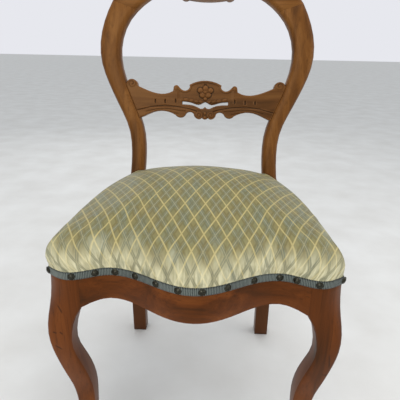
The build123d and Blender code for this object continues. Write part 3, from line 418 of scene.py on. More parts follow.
def tapestry_material():
    """Sage and gold tapestry: a gold lattice of tall diamonds over a grey-blue one, on streaked satin."""
    look = Shader("tapestry")
    uv = look.node("UVMap", uv_map="cloth").outputs[0]
    part = look.parts(uv)
    wobble = look.noise(look.scaled(uv, (9, 9, 9)), 1.0, 2)
    sway = look.times(look.minus(wobble, 0.5), 0.12)
    across = look.math("DIVIDE", look.minus(part[X_AXIS], LATTICE_ACROSS), DIAMOND_WIDE)
    across = look.math("ADD", across, sway)
    along = look.math("DIVIDE", look.minus(part[Y_AXIS], LATTICE_ALONG), DIAMOND_TALL)

    def lines(repeat, shift, half_width):
        """How much the two sets of slanting lines cover."""
        covers = []
        for sign in (1, -1):
            phase = look.fit(look.fit(along, sign, across), repeat, shift)
            saw = look.math("ABSOLUTE", look.minus(look.math("FRACT", phase), 0.5))
            covers.append(look.share(saw, 0.5 - half_width * 1.5, 0.5 - half_width * 0.5,
                                       interpolation_type="SMOOTHSTEP"))
        return look.math("MAXIMUM", *covers)

    warp = look.noise(look.scaled(uv, (1500, 45, 1)), 1.0, 3, 0.6)
    streak = look.noise(look.scaled(uv, (170, 22, 1)), 1.0, 4, 0.6)
    blotch = look.noise(look.scaled(uv, (42, 18, 1)), 1.0, 3, 0.5)
    ground = look.ramp(
        blotch, (0.32, srgb(136, 148, 134)), (0.47, srgb(153, 151, 108)), (0.60, srgb(160, 148, 98)),
        (0.74, srgb(146, 152, 130)))
    ground = look.mix(look.times(streak, 0.55), ground, GROUND_STREAK)
    ground = look.mix(look.times(lines(3, 0.0, FINE_HALF), 0.42), ground, FINE_THREAD)
    grey = lines(1, 0.5, GREY_HALF)
    ground = look.mix(look.times(grey, 0.5), ground, GREY_THREAD)
    pale = look.times(lines(1, 0.5, PALE_HALF), look.fit(streak, 0.6, 0.12))
    ground = look.mix(pale, ground, PALE_THREAD)
    gold = lines(1, 0.0, GOLD_HALF)
    colour = look.mix(look.times(gold, look.fit(streak, 0.5, 0.46)), ground, GOLD_THREAD)
    colour = look.mix(0.22, colour, look.mix(warp, WARP_DARK, WARP_LIGHT), "OVERLAY")
    colour = look.mix(1.0, colour, TOP_SHADE, "MULTIPLY")
    # painted highlight: cream is painted in a ragged band low on the cushion, where the shiny cloth would
    # catch the light as it turns down to the gimp
    ragged = look.fit(look.math("ADD", blotch, streak), 0.045, look.height())
    low = look.share(ragged, HIGHLIGHT_TOP, HIGHLIGHT_FULL, interpolation_type="SMOOTHSTEP")
    painted_shine = look.times(low, look.ramp(streak, (0.34, 0.30), (0.62, 1.0)))
    painted_shine = look.times(painted_shine, look.minus(1.0, look.times(grey, 0.7)))
    colour = look.mix(look.times(painted_shine, 0.72), colour, HIGHLIGHT_CREAM)
    raised = look.math("ADD", look.times(gold, 0.8), look.times(warp, 0.5))
    return look.finish(colour, look.fit(streak, 0.2, 0.42), look.bump(raised, 0.00035, 0.5),
                         Specular_IOR_Level=0.18, Sheen_Weight=0.05, Sheen_Roughness=0.4)


BRAID_RIB_SCALE = 1 / (0.0024 * 3.1416)
BRAID_MIDDLE = 0.39655  # the height of the braid's middle
BRAID_EDGE, BRAID_END = 0.0040, 0.0058  # the edge darkens between these distances from the middle


def braid_material():
    look = Shader("gimp_braid")
    uv = look.node("UVMap", uv_map="cloth").outputs[0]
    rib = look.wave(uv, BRAID_RIB_SCALE, 1.5, 2.0, "X")
    thread = look.noise(look.scaled(uv, (600, 2200, 1)), 1.0, 3)
    tone = look.math("ADD", look.times(rib, 0.6), look.times(thread, 0.4))
    off_middle = look.math("ABSOLUTE", look.minus(look.parts(uv)[Y_AXIS], BRAID_MIDDLE))
    edge = look.share(off_middle, BRAID_EDGE, BRAID_END)
    tone = look.fit(look.times(edge, look.minus(1.15, rib)), -0.8, tone)
    colour = look.ramp(tone, (0.0, srgb(16, 20, 20)), (0.25, srgb(40, 47, 47)),
                         (0.5, srgb(74, 82, 78)), (0.8, srgb(110, 117, 110)))
    return look.finish(colour, 0.7, look.bump(thread, 0.0002, 0.6), Specular_IOR_Level=0.3,
                         Sheen_Weight=0.25)


tapestry = tapestry_material()
braid = braid_material()

# ---- helpers for pieces


def piece(name, points, faces, material, uv=None):
    """A smooth mesh piece that rides on the chair's one body. uv gives one pair for each point."""
    mesh = bpy.data.meshes.new(name)
    mesh.from_pydata([tuple(p) for p in points], [], [tuple(int(i) for i in f) for f in faces])
    mesh.validate()
    mesh.polygons.foreach_set("use_smooth", [True] * len(mesh.polygons))
    if uv is not None:
        layer = mesh.uv_layers.new(name="cloth")
        corner = np.zeros(len(mesh.loops), np.int32)
        mesh.loops.foreach_get("vertex_index", corner)
        layer.data.foreach_set("uv", np.asarray(uv, np.float32)[corner].ravel())
    made = add(name, mesh)
    mesh.materials.append(material)
    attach(made, "root")
    return made


def grid_faces(rows, columns, closed=True):
    """Quads between rows of points; closed joins each row's end to its start."""
    faces = []
    for r in range(rows - 1):
        for c in range(columns if closed else columns - 1):
            d = (c + 1) % columns
            faces.append((r * columns + c, r * columns + d, (r + 1) * columns + d, (r + 1) * columns + c))
    return faces


def closed_faces(rows, columns, foot=True):
    """The grid's faces with its last row filled in, and its first row too where it has a foot."""
    faces = grid_faces(rows, columns)
    faces.append([(rows - 1) * columns + c for c in range(columns)])
    if foot:
        faces.append(list(range(columns))[::-1])
    return faces


def thicken(made, thickness):
    made.modifiers.new("thickness", "SOLIDIFY").thickness = thickness


WELD_GAP = 0.00002
SHARP = math.radians(38)


def dress(material, round_edges, *nodes):
    """Gives CAD nodes their material and smooth shading, with their hard edges slightly rounded."""
    for cad in (NODES[node] for node in nodes):
        cad.data.materials.clear()
        cad.data.materials.append(material)
        cad.data.polygons.foreach_set("use_smooth", [True] * len(cad.data.polygons))
        if "custom_normal" in cad.data.attributes:
            cad.data.attributes.remove(cad.data.attributes["custom_normal"])
        cad.modifiers.new("weld", "WELD").merge_threshold = WELD_GAP
        if round_edges:
            bevel = cad.modifiers.new("rounding", "BEVEL")
            bevel.width = round_edges
            bevel.segments = 2
            bevel.limit_method = "ANGLE"
            bevel.angle_limit = SHARP
        cad.modifiers.new("sharp", "EDGE_SPLIT").split_angle = SHARP


CORNERS = ("front_left", "front_right", "rear_left", "rear_right")
dress(wood_leg, 0.0007, "front_leg_left", "front_leg_right")
dress(wood_front, 0.0007, "front_seat_rail", "rear_seat_rail")
dress(wood_side, 0.0007, "side_seat_rail_left", "side_seat_rail_right")
dress(wood_stile, 0.0008, "rear_leg_stile_left", "rear_leg_stile_right")
dress(wood_crest, 0.0004, "crest_rail", "cross_rail")
dress(wood_raw, 0.0, "crest_dowels", *(f"corner_block_{place}" for place in CORNERS))
dress(screw, 0.0, "corner_block_screws")
dress(steel, 0.0, "seat_spring_centre", *(f"seat_spring_{place}" for place in CORNERS))
dress(twine_jute, 0.0, "spring_twine")

# ---- the seat's outline in plan, in millimetres

CORNER_Y = -211.0  # the front corners
HALF_FRONT, HALF_REAR, SIDE_BOW = 220.0, 160.0, 12.0
REAR_EDGE = 386.0  # the seat's back, behind the front corners
CROWN_BEHIND = 192.0
MIDDLE_REACH, HOLLOW_X, HOLLOW_DEPTH, CROWN_X, CROWN_REACH = 50.0, 127.0, 1.5, 186.0, 18.0
OVAL_SIDE, OVAL_FRONT, OVAL_REAR = 206.0, 232.0, 196.0
SLOPE_STEP = 0.4


def front_reach(x):
    """How far the serpentine front stands ahead of the corners at x."""
    a = abs(x)
    if a <= HOLLOW_X:
        return (1 + math.cos(math.pi * a / HOLLOW_X)) / 2 * (MIDDLE_REACH + HOLLOW_DEPTH) - HOLLOW_DEPTH
    if a <= CROWN_X:
        share = (1 - math.cos(math.pi * (a - HOLLOW_X) / (CROWN_X - HOLLOW_X))) / 2
        return share * (CROWN_REACH + HOLLOW_DEPTH) - HOLLOW_DEPTH
    return CROWN_REACH * math.cos(math.pi / 2 * (a - CROWN_X) / (HALF_FRONT - CROWN_X))


def front_point(x):
    """The front's point at x, with its outward direction."""
    slope = -(front_reach(x + SLOPE_STEP) - front_reach(x - SLOPE_STEP)) / (2 * SLOPE_STEP)
    return x, -front_reach(x), slope, -1


def side_place(share):
    """Half width and distance behind the corners, a share of the way along the bowed side."""
    chord = Vector((HALF_REAR - HALF_FRONT, REAR_EDGE))
    lean = Vector((chord.y, -chord.x)).normalized()
    bow = Vector((SIDE_BOW, 0)).dot(lean)
    return Vector((HALF_FRONT, 0)) + chord * share + lean * bow * (1 - (2 * share - 1) ** 2)


def side_point(share):
    """The right side's point, with its outward direction."""
    spot = side_place(share)
    run = side_place(share + 0.01) - spot
    return spot.x, spot.y, run.y, -run.x


def outline(front_steps, side_steps, rear_steps):
    """Points and outward directions round the seat, from the middle of the front by the right side."""
    half = [front_point(HALF_FRONT * i / front_steps) for i in range(front_steps)]
    half.append((*side_place(0), 1.2, -1.0))
    half += [side_point(i / side_steps) for i in range(1, side_steps)]
    half.append((HALF_REAR, REAR_EDGE, 1, 0.8))
    half += [(HALF_REAR * (1 - i / rear_steps), REAR_EDGE, 0, 1) for i in range(1, rear_steps + 1)]
    table = np.array(half + [(-x, y, -nx, ny) for x, y, nx, ny in half[-2:0:-1]])
    table[:, 2:] /= np.hypot(table[:, 2], table[:, 3])[:, None]
    return table


def seat_points(table, scale, swell, wave, roundness):
    """The outline drawn in towards the crown, its wave eased, and rounded towards an oval."""
    x, behind = table[:, 0].copy(), table[:, 1].copy()
    behind = np.where(behind < 0, behind * wave, behind)
    x, behind = x + table[:, 2] * swell, behind + table[:, 3] * swell
    along = behind - CROWN_BEHIND
    reach = np.hypot(x, along)
    oval = 1 / np.hypot(x / reach / OVAL_SIDE, along / reach / np.where(along < 0, OVAL_FRONT, OVAL_REAR))
    grow = scale * (1 - roundness + roundness * oval / reach)
    return x * grow, CORNER_Y + CROWN_BEHIND + along * grow


SHOULDER, DOME_RISE = 439.6, 65.4
DOME_SHARES = (0.86, 0.8, 0.7, 0.55, 0.38, 0.2, 0.03)


def seat_stations():
    """Height, scale, letting out, depth of the front's wave and roundness, from the hem to the crown."""
    rows = [(391.0, 1, 0.2, 1, 0), (403.5, 1, 0.4, 1, 0), (410.0, 1, 1.6, 1, 0), (418.0, 1, 2.4, 0.99, 0.005),
            (425.0, 0.998, 2.1, 0.985, 0.01), (431.5, 0.992, 2.1, 0.98, 0.02),
            (438.0, 0.982, 2.2, 0.975, 0.035), (444.2, 0.966, 2.4, 0.97, 0.07),
            (450.0, 0.939, 2.2, 0.96, 0.13), (455.0, 0.903, 1.6, 0.95, 0.2)]
    for share in DOME_SHARES:
        height = SHOULDER + DOME_RISE * (1 - share ** 1.7) ** 0.84
        out = 2.8 * max(0.0, (share - 0.8) / 0.2)
        rows.append((height, share, out, 0.6 + 0.38 * share, min(1.12 * (1 - share) ** 0.673, 1)))
    return np.array(rows)


def smooth_rows(rows, steps):
    """Rows between the given ones, on a smooth curve through them."""
    out = []
    last = len(rows) - 1
    for k in range(last):
        before, start, end, after = rows[max(k - 1, 0)], rows[k], rows[k + 1], rows[min(k + 2, last)]
        for i in range(steps):
            t = i / steps
            out.append(0.5 * (2 * start + (end - before) * t
                              + (2 * before - 5 * start + 4 * end - after) * t ** 2
                              + (3 * start - before - 3 * end + after) * t ** 3))
    return np.array([*out, rows[-1]])


# the front nails' places across, read from the photograph
FRONT_NAILS = (-180.8, -149.5, -119.7, -87.0, -53.7, -20.9, 12.7, 48.0, 87.4, 127.0, 151.5, 182.0)
SIDE_NAILS, FIRST_SIDE_NAIL, LAST_SIDE_NAIL = 10, 0.086, 0.9  # how many, and their shares of the side
REAR_NAILS, REAR_NAIL_STEP = 7, 38.0


def nail_places():
    """Place and outward direction of each nail, on the seat's edge: front, corners, sides and back."""
    places = [front_point(x) for x in FRONT_NAILS]
    for side in (1, -1):
        places.append((side * HALF_FRONT, 0, side, -1))
        for i in range(SIDE_NAILS):
            share = FIRST_SIDE_NAIL + (LAST_SIDE_NAIL - FIRST_SIDE_NAIL) * i / (SIDE_NAILS - 1)
            x, behind, nx, ny = side_point(share)
            places.append((side * x, behind, side * nx, ny))
    for i in range(REAR_NAILS):
        places.append(((i - REAR_NAILS // 2) * REAR_NAIL_STEP, REAR_EDGE, 0, 1))
    return [(x, behind, nx / math.hypot(nx, ny), ny / math.hypot(nx, ny)) for x, behind, nx, ny in places]


NAIL_PLACES = nail_places()

# ---- the seat cushion

CLOTH_FRAMES = 20
CLOTH_REACH = 0.0011  # the most that the cloth moves in its simulation
PUCKER_TOP, PUCKER_FADE = 0.452, 0.030  # the cloth is taut above this height
# the cover is cut a little larger than the stuffing, by a negative shrink
FABRIC = {"quality": 5, "mass": 0.2, "tension_stiffness": 20, "compression_stiffness": 20,
          "shear_stiffness": 8, "bending_stiffness": 0.8, "vertex_group_mass": "held",
          "use_pressure": True, "uniform_pressure_force": 4, "shrink_min": -0.012}
ALIKE = 9  # columns to each side over which a movement counts as the whole seat's
PUCKER_DEPTH = 0.9


def settle(made, weights, columns):
    """Adds the puckers that a short cloth simulation gives, with the cloth kept at the hem and the nails.

    What moves a whole stretch of the seat alike is taken out, so that the seat keeps its form.
    """
    mesh = made.data
    before = np.zeros(len(mesh.vertices) * 3)
    mesh.vertices.foreach_get("co", before)
    group = made.vertex_groups.new(name="held")
    for index, weight in enumerate(weights):
        if weight > 0.01:
            group.add([index], float(weight), "REPLACE")
    sheet = made.modifiers.new("cloth", "CLOTH")
    for key, value in FABRIC.items():
        setattr(sheet.settings, key, value)
    sheet.settings.effector_weights.gravity = 0
    sheet.collision_settings.use_collision = False
    sheet.point_cache.frame_start, sheet.point_cache.frame_end = 1, CLOTH_FRAMES
    for number in range(1, CLOTH_FRAMES + 1):
        scene.frame_set(number)
    settled = made.evaluated_get(bpy.context.evaluated_depsgraph_get())
    after = np.zeros(len(mesh.vertices) * 3)
    settled.data.vertices.foreach_get("co", after)
    made.modifiers.remove(sheet)
    made.vertex_groups.remove(group)
    scene.frame_set(1)
    move = (after - before).reshape(-1, columns, 3)
    alike = sum(np.roll(move, k, axis=1) for k in range(-ALIKE, ALIKE + 1)) / (2 * ALIKE + 1)
    move = (PUCKER_DEPTH * (move - alike)).reshape(-1, 3)
    length = np.linalg.norm(move, axis=1, keepdims=True)
    move *= np.minimum(1, CLOTH_REACH / np.maximum(length, 1e-9))
    move *= held((PUCKER_TOP - before.reshape(-1, 3)[:, 2:]) / PUCKER_FADE)
    mesh.vertices.foreach_set("co", before + move.ravel())
    mesh.update()


CLOTH_OVAL_DEEP, CLOTH_OVAL_POWER = 225.0, 5  # for the direction in which the cloth is let out


def flat_cloth(stack):
    """Where each point lies on the flat cloth: its place in plan, let out by the length of the slope."""
    length = np.zeros(stack.shape[:2])
    for k in range(len(stack) - 2, -1, -1):
        length[k] = length[k + 1] + np.linalg.norm(stack[k] - stack[k + 1], axis=1)
    plan = stack[:, :, :2] - np.array((0.0, CORNER_Y + CROWN_BEHIND))
    reach = np.linalg.norm(plan, axis=2)
    extra = length - (reach - reach[-1][None, :])
    lean = np.stack([np.sign(plan[..., axis]) * np.abs(plan[..., axis] / size) ** CLOTH_OVAL_POWER
                     for axis, size in ((X_AXIS, OVAL_SIDE), (Y_AXIS, CLOTH_OVAL_DEEP))], axis=2)
    lean /= np.maximum(np.linalg.norm(lean, axis=2), 1e-9)[..., None]
    return (plan + lean * extra[..., None]).reshape(-1, 2) * MM


LEFT_FULLNESS = 2.8  # the stuffing stands a little fuller on the left
HEM_Z, SEAT_RISE, CROWN_Z = 403.0, 102.0, 505.0
LUMP_ACROSS, LUMP_DEEP, LUMP_HEIGHT = 31.0, 37.0, 0.35
LUMP_BOTTOM, LUMP_FADE_IN, LUMP_FADE_OUT = 415.0, 30.0, 8.0
PULL_BOTTOM, PULL_TOP, PULL_RANGE, PULL_REACH, PULL_DEPTH = 404.0, 432.0, 34.0, 7.0, 0.9
HELD_HEM_Z, HELD_NAIL_Z, HELD_REACH = 404.5, 411.0, 6.0


def cushion():
    """The stuffed seat with its cover: domed, full over the rails, drawn in to the gimp and the nails."""
    table = outline(64, 40, 24)
    rows = smooth_rows(seat_stations(), 4)
    rng = np.random.default_rng(7)
    waves = rng.uniform(-1, 1, (8, 4))
    points = []
    for z, *station in rows:
        x, y = seat_points(table, *station)
        near = held((PULL_TOP - z) / PULL_RANGE)
        pull = np.zeros(len(x))
        for nail_x, nail_behind, _, _ in NAIL_PLACES:
            away = np.hypot(x - nail_x, y - CORNER_Y - nail_behind)
            pull += np.exp(-(away / PULL_REACH) ** 2)
        ease = PULL_DEPTH * near * (1 - near) * 4 * pull * (z > PULL_BOTTOM)
        x, y = x - table[:, 2] * ease, y - table[:, 3] * ease
        lumps = sum(a * np.sin(x / LUMP_ACROSS * b + c * 5) * np.cos(y / LUMP_DEEP * d + a * 9)
                    for a, b, c, d in waves)
        high = held((z - LUMP_BOTTOM) / LUMP_FADE_IN) * held((CROWN_Z - z) / LUMP_FADE_OUT)
        x = x - LEFT_FULLNESS * math.sin(math.pi * held((z - HEM_Z) / SEAT_RISE) ** 0.9)
        points.append(np.column_stack((x, y, z + LUMP_HEIGHT * lumps * high)))
    columns = len(table)
    flat = np.concatenate(points)
    made = piece("seat_cushion", flat * MM, closed_faces(len(rows), columns), tapestry,
                 uv=flat_cloth(np.stack(points)))
    nail_distance = np.min([np.hypot(flat[:, 0] - x, flat[:, 1] - CORNER_Y - behind)
                            for x, behind, _, _ in NAIL_PLACES], axis=0)
    at_nails = np.exp(-(nail_distance / HELD_REACH) ** 2) * (flat[:, 2] < HELD_NAIL_Z)
    hem = np.where(flat[:, 2] < HELD_HEM_Z, 1.0, 0.0)
    settle(made, np.maximum(hem, at_nails), columns)
    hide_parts("seat_cover", "seat_stuffing", "burlap_cover")


cushion()

# ---- gimp and nails

RIB, RIB_POINTS = 2.4, 4  # one rib's length along the braid, and its points
# heights and how far the braid stands out there, from its lower edge to its upper
GIMP_PROFILE = ((390.3, 0.1), (390.5, 1.0), (392.0, 1.5), (394.5, 1.35), (396.5, 1.55), (398.5, 1.35),
                (401.0, 1.5), (402.6, 1.0), (402.8, 0.1))
GIMP_MIDDLE_Z, SCALLOP, EDGE_RIB, INNER_RIB = 396.0, 0.55, 0.25, 0.45


def gimp():
    """The ribbed braid that covers the cover's raw edge."""
    table = outline(64, 48, 32)
    spots = np.column_stack((table[:, 0], table[:, 1] + CORNER_Y))
    spans = np.linalg.norm(np.roll(spots, -1, axis=0) - spots, axis=1)
    total = spans.sum()
    ribs = round(total / RIB)
    count = ribs * RIB_POINTS
    where = np.linspace(0, total, count, endpoint=False)
    marks = np.concatenate(([0], np.cumsum(spans)))
    looped = np.vstack((table, table[:1]))
    x, behind, nx, ny = (np.interp(where, marks, looped[:, i]) for i in range(4))
    norm = np.hypot(nx, ny)
    nx, ny = nx / norm, ny / norm
    rib = 0.5 + 0.5 * np.cos(where / total * ribs * 2 * math.pi)
    rows, uv = [], []
    for k, (z, out) in enumerate(GIMP_PROFILE):
        edge = not 1 < k < len(GIMP_PROFILE) - 2
        stand = out + (EDGE_RIB if edge else INNER_RIB) * rib
        scallop = SCALLOP * (rib - 0.5) * (1 if z > GIMP_MIDDLE_Z else -1) * edge
        rows.append(np.column_stack((x + nx * stand, behind + CORNER_Y + ny * stand, z + scallop)))
        uv.append(np.column_stack((where * MM, np.full(count, z * MM))))
    made = piece("gimp_braid", np.concatenate(rows) * MM, grid_faces(len(GIMP_PROFILE), count), braid,
                 uv=np.concatenate(uv))
    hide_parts("gimp_trim")


# radius and height over the seat's edge, from the rolled rim to the dome's top
HEAD_PROFILE = ((5.55, 0.0), (5.6, 0.5), (5.25, 1.0), (4.7, 1.05), (4.3, 0.85), (3.9, 1.1), (3.1, 1.9),
                (2.0, 2.5), (0.9, 2.8), (0.25, 2.85))
HEAD_SIDES = 24
NAIL_Z, NAIL_OUT, NAIL_TILT = 396.4, 1.5, 0.06


def nails():
    """Domed nail heads with a rolled rim, all one piece, each tilted a little differently."""
    points, faces = [], []
    for n, (x, behind, nx, ny) in enumerate(NAIL_PLACES):
        out = Vector((nx, ny, 0))
        across = Vector((-ny, nx, 0))
        seat = Vector((x, behind + CORNER_Y, NAIL_Z)) + out * NAIL_OUT
        upward = (Vector((0, 0, 1)) + out * (NAIL_TILT * math.sin(n * 2.3))).normalized()
        start = len(points)
        for radius, height in HEAD_PROFILE:
            for s in range(HEAD_SIDES):
                angle = 2 * math.pi * s / HEAD_SIDES
                points.append((seat + out * height + across * radius * math.cos(angle)
                               + upward * radius * math.sin(angle)) * MM)
        faces += [[start + i for i in face] for face in closed_faces(len(HEAD_PROFILE), HEAD_SIDES)]
    made = piece("nail_heads", points, faces, bronze)
    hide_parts("trim_nails")


gimp()
nails()

# ---- webbing and dust cover

WEB_Z = 0.3550
STRIP_WIDE, STRIP_THICK, STRIP_STEPS = 0.050, 0.0009, 60
WEAVE_LIFT, WEAVE_REACH = 0.0008, 0.024 * 1.6  # a strip's rise over another, and its reach
EDGE_SHARE, EDGE_SAG = 0.94, 0.0004  # a strip's selvedge, and how far its middle lies lower
LENGTH_X = (-0.084, 0.0, 0.084)
CROSS_Y = (-0.129, -0.033, 0.063)
CROSS_HALF = (0.192, 0.180, 0.164)
LENGTH_END = 0.160
FRONT_LAP, SIDE_LAP = 0.023, 0.036  # from the rail's front to the strips, and what the outer two stand back


def webbing(name, node, runs, along_y):
    """Woven strips, each given by its middle line, its two ends and where others cross it."""
    points, faces, area, longest = [], [], 0.0, 0.0
    half = STRIP_WIDE / 2
    for i, (middle, start, end, crossings) in enumerate(runs):
        first = len(points)
        for k in range(STRIP_STEPS + 1):
            s = start + (end - start) * k / STRIP_STEPS
            z = WEB_Z
            for j, spot in enumerate(crossings):
                over = 1 if (i + j) % 2 != along_y else -1
                z += over * WEAVE_LIFT * max(0.0, 1 - (abs(s - spot) / WEAVE_REACH) ** 2)
            for share in (-1, -EDGE_SHARE, 0, EDGE_SHARE, 1):
                across, low = middle + half * share, z - EDGE_SAG * (share == 0)
                points.append((across, s, low) if along_y else (s, across, low))
        faces += [[first + v for v in face] for face in grid_faces(STRIP_STEPS + 1, 5, closed=False)]
        area += 2 * half * abs(end - start)
        longest = max(longest, abs(end - start))
    made = piece(name, points, faces, jute)
    thicken(made, STRIP_THICK)
    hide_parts(node)


web_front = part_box("front_seat_rail")[0].y + FRONT_LAP
lengthwise = [(x, web_front + (0.0 if x == 0 else SIDE_LAP), LENGTH_END, CROSS_Y) for x in LENGTH_X]
crosswise = [(y, -half, half, LENGTH_X) for y, half in zip(CROSS_Y, CROSS_HALF)]
webbing("webbing_lengthwise_strips", "webbing_lengthwise", lengthwise, True)
webbing("webbing_crosswise_strips", "webbing_crosswise", crosswise, False)

DUST_Z, DUST_SAG, DUST_SCALE, DUST_THICK = 352.0, 2.6, 0.915, 0.0005
DUST_HALF = 196.0
DUST_SHARES = (1.0, 0.94, 0.8, 0.6, 0.4, 0.2, 0.02)


def dust_cover():
    """Black cambric tacked flat under the webbing, with a slight sag."""
    table = outline(40, 24, 16)
    rings = []
    for share in DUST_SHARES:
        x, y = seat_points(table, DUST_SCALE * share, 0, 1, 0)
        x = np.clip(x, -DUST_HALF, DUST_HALF)
        rings.append(np.column_stack((x, y, np.full(len(x), DUST_Z - DUST_SAG * (1 - share ** 2)))))
    faces = closed_faces(len(rings), len(table), foot=False)
    made = piece("dust_cover_cloth", np.concatenate(rings) * MM, faces, cambric)
    x, y = rings[0][:, 0] * MM, rings[0][:, 1] * MM
    thicken(made, DUST_THICK)
    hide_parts("dust_cover")


dust_cover()

# ---- carving, in millimetres on the back's plane

TILT = math.atan(0.18)
ORIGIN_Z = 450.0
BACK_ORIGIN = np.array(Vector((0, 157.84, ORIGIN_Z)))
BACK_UP = np.array(Vector((0, math.sin(TILT), math.cos(TILT))))
BACK_OUT = np.array(Vector((0, -math.cos(TILT), math.sin(TILT))))
ACROSS = np.array((1.0, 0, 0))
FAR = 1e9


def up(height):
    """Distance up the back's plane of a point at this height."""
    return (height - ORIGIN_Z) / math.cos(TILT)


def front_edges(node, depth, flower_z):
    """The outline of a CAD node's flat front, without the flower's own."""
    mesh = NODES[node].data
    places = np.array([v.co for v in mesh.vertices]) / MM - BACK_ORIGIN
    flat = np.column_stack((places[:, 0], places @ BACK_UP))
    on_front = np.abs(places @ BACK_OUT - depth) < 0.06
    mesh.calc_loop_triangles()
    key = {}
    index = [key.setdefault((round(u, 2), round(v, 2)), len(key)) for u, v in flat]
    where = list(key)
    count = {}
    for triangle in mesh.loop_triangles:
        if all(on_front[i] for i in triangle.vertices):
            a, b, c = (index[i] for i in triangle.vertices)
            for edge in ((a, b), (b, c), (c, a)):
                edge = tuple(sorted(edge))
                count[edge] = count.get(edge, 0) + 1
    edges = [(where[a], where[b]) for (a, b), n in count.items() if n == 1]
    middle = up(flower_z)
    return np.array([e for e in edges if any(math.hypot(u, v - middle) >= FLOWER_REACH for u, v in e)])


def distance_inside(points, edges):
    """Each point's distance from the outline, positive inside, and the nearest place on it."""
    start, end = edges[:, 0], edges[:, 1]
    run = end - start
    size = np.maximum((run ** 2).sum(1), 1e-12)
    best = np.full(len(points), FAR)
    nearest = np.zeros_like(points)
    crossings = np.zeros(len(points), int)
    for s, r, n, e in zip(start, run, size, end):
        t = held(((points - s) @ r) / n)
        foot = s + t[:, None] * r
        d = np.hypot(*(points - foot).T)
        closer = d < best
        best[closer] = d[closer]
        nearest[closer] = foot[closer]
        low, high = min(s[1], e[1]), max(s[1], e[1])
        spans = (points[:, 1] >= low) & (points[:, 1] < high)
        if high > low:
            x = s[0] + (points[:, 1] - s[1]) / (e[1] - s[1]) * (e[0] - s[0])
            crossings += spans & (x > points[:, 0])
    return np.where(crossings % 2 == 1, best, -best), nearest


def bump(u, v, x, z, wide, tall, high, turn=0.0):
    """A rounded lump, or a hollow where high is negative."""
    du, dv = u - x, v - up(z)
    c, s = math.cos(turn), math.sin(turn)
    a, b = (du * c + dv * s) / wide, (dv * c - du * s) / tall
    return high * np.sqrt(held(1 - a ** 2 - b ** 2))


def groove(u, v, line, wide, deep):
    """A V-cut along a line of points given as half width and height."""
    best = np.full(len(u), FAR)
    for (x0, z0), (x1, z1) in zip(line, line[1:]):
        s = np.array((x0, up(z0)))
        r = np.array((x1, up(z1))) - s
        t = held(((u - s[0]) * r[0] + (v - s[1]) * r[1]) / (r @ r))
        best = np.minimum(best, np.hypot(u - s[0] - t * r[0], v - s[1] - t * r[1]))
    return -deep * held(1 - best / wide)


def scroll(u, v, x, z, radius, high, turns, hand=1):
    """A volute: a disc with a spiral cut in it and a bead in its eye."""
    du, dv = (u - x) * hand, v - up(z)
    r, angle = np.hypot(du, dv), np.arctan2(dv, du)
    dome = high * np.sqrt(held(1 - (r / radius) ** 2)) ** 0.5
    phase = (r / radius * turns - angle / (2 * math.pi)) % 1
    cut = 0.9 * np.exp(-((phase - 0.5) / 0.16) ** 2) * (r < radius * 0.92) * (r > radius * 0.2)
    return dome - cut


def flower(u, v, spots, z, radius, level_up, high):
    """Round petals about an eye, each with upright sides up to a level and a dome above it."""
    h = np.zeros(len(u))
    for x, petal_z in (*spots, (0, z)):
        size = radius if (x, petal_z) != (0, z) else radius * 0.72
        near = np.hypot(u - x, v - up(petal_z)) < size
        h = np.where(near, np.maximum(h, level_up + bump(u, v, x, petal_z, size, size, high)), h)
    return h


# the cross rail's carving: places are half widths and heights over the floor
CROSS_FLOWER_Z = 624.0
CROSS_PETALS = ((0, 631.5), (11.2, 627.3), (-11.2, 627.3), (6.6, 617.8), (-6.6, 617.8))
HUMP_HALF, HUMP_BOTTOM = 62, 606
LEAF_RIDGE = ((150, 583), (120, 590.5), (88, 594.5), (60, 592), (34, 588), (18, 583))
LEAF_VEIN = ((128, 581), (104, 586.5), (80, 587.5), (58, 584), (42, 583))
LEAF_LOWER_VEIN = ((96, 581.5), (74, 580.5), (58, 577))
PIERCING_LEAVES = ((9, 603.2, 0.5), (19, 603.8, 0.15), (30, 605.6, 0.1), (42, 607.4, 0.15))
LENS_CUTS = ((109, 603.0), (87.5, 603.2), (64.5, 604.6))
LEAST_HEIGHT = 0.12


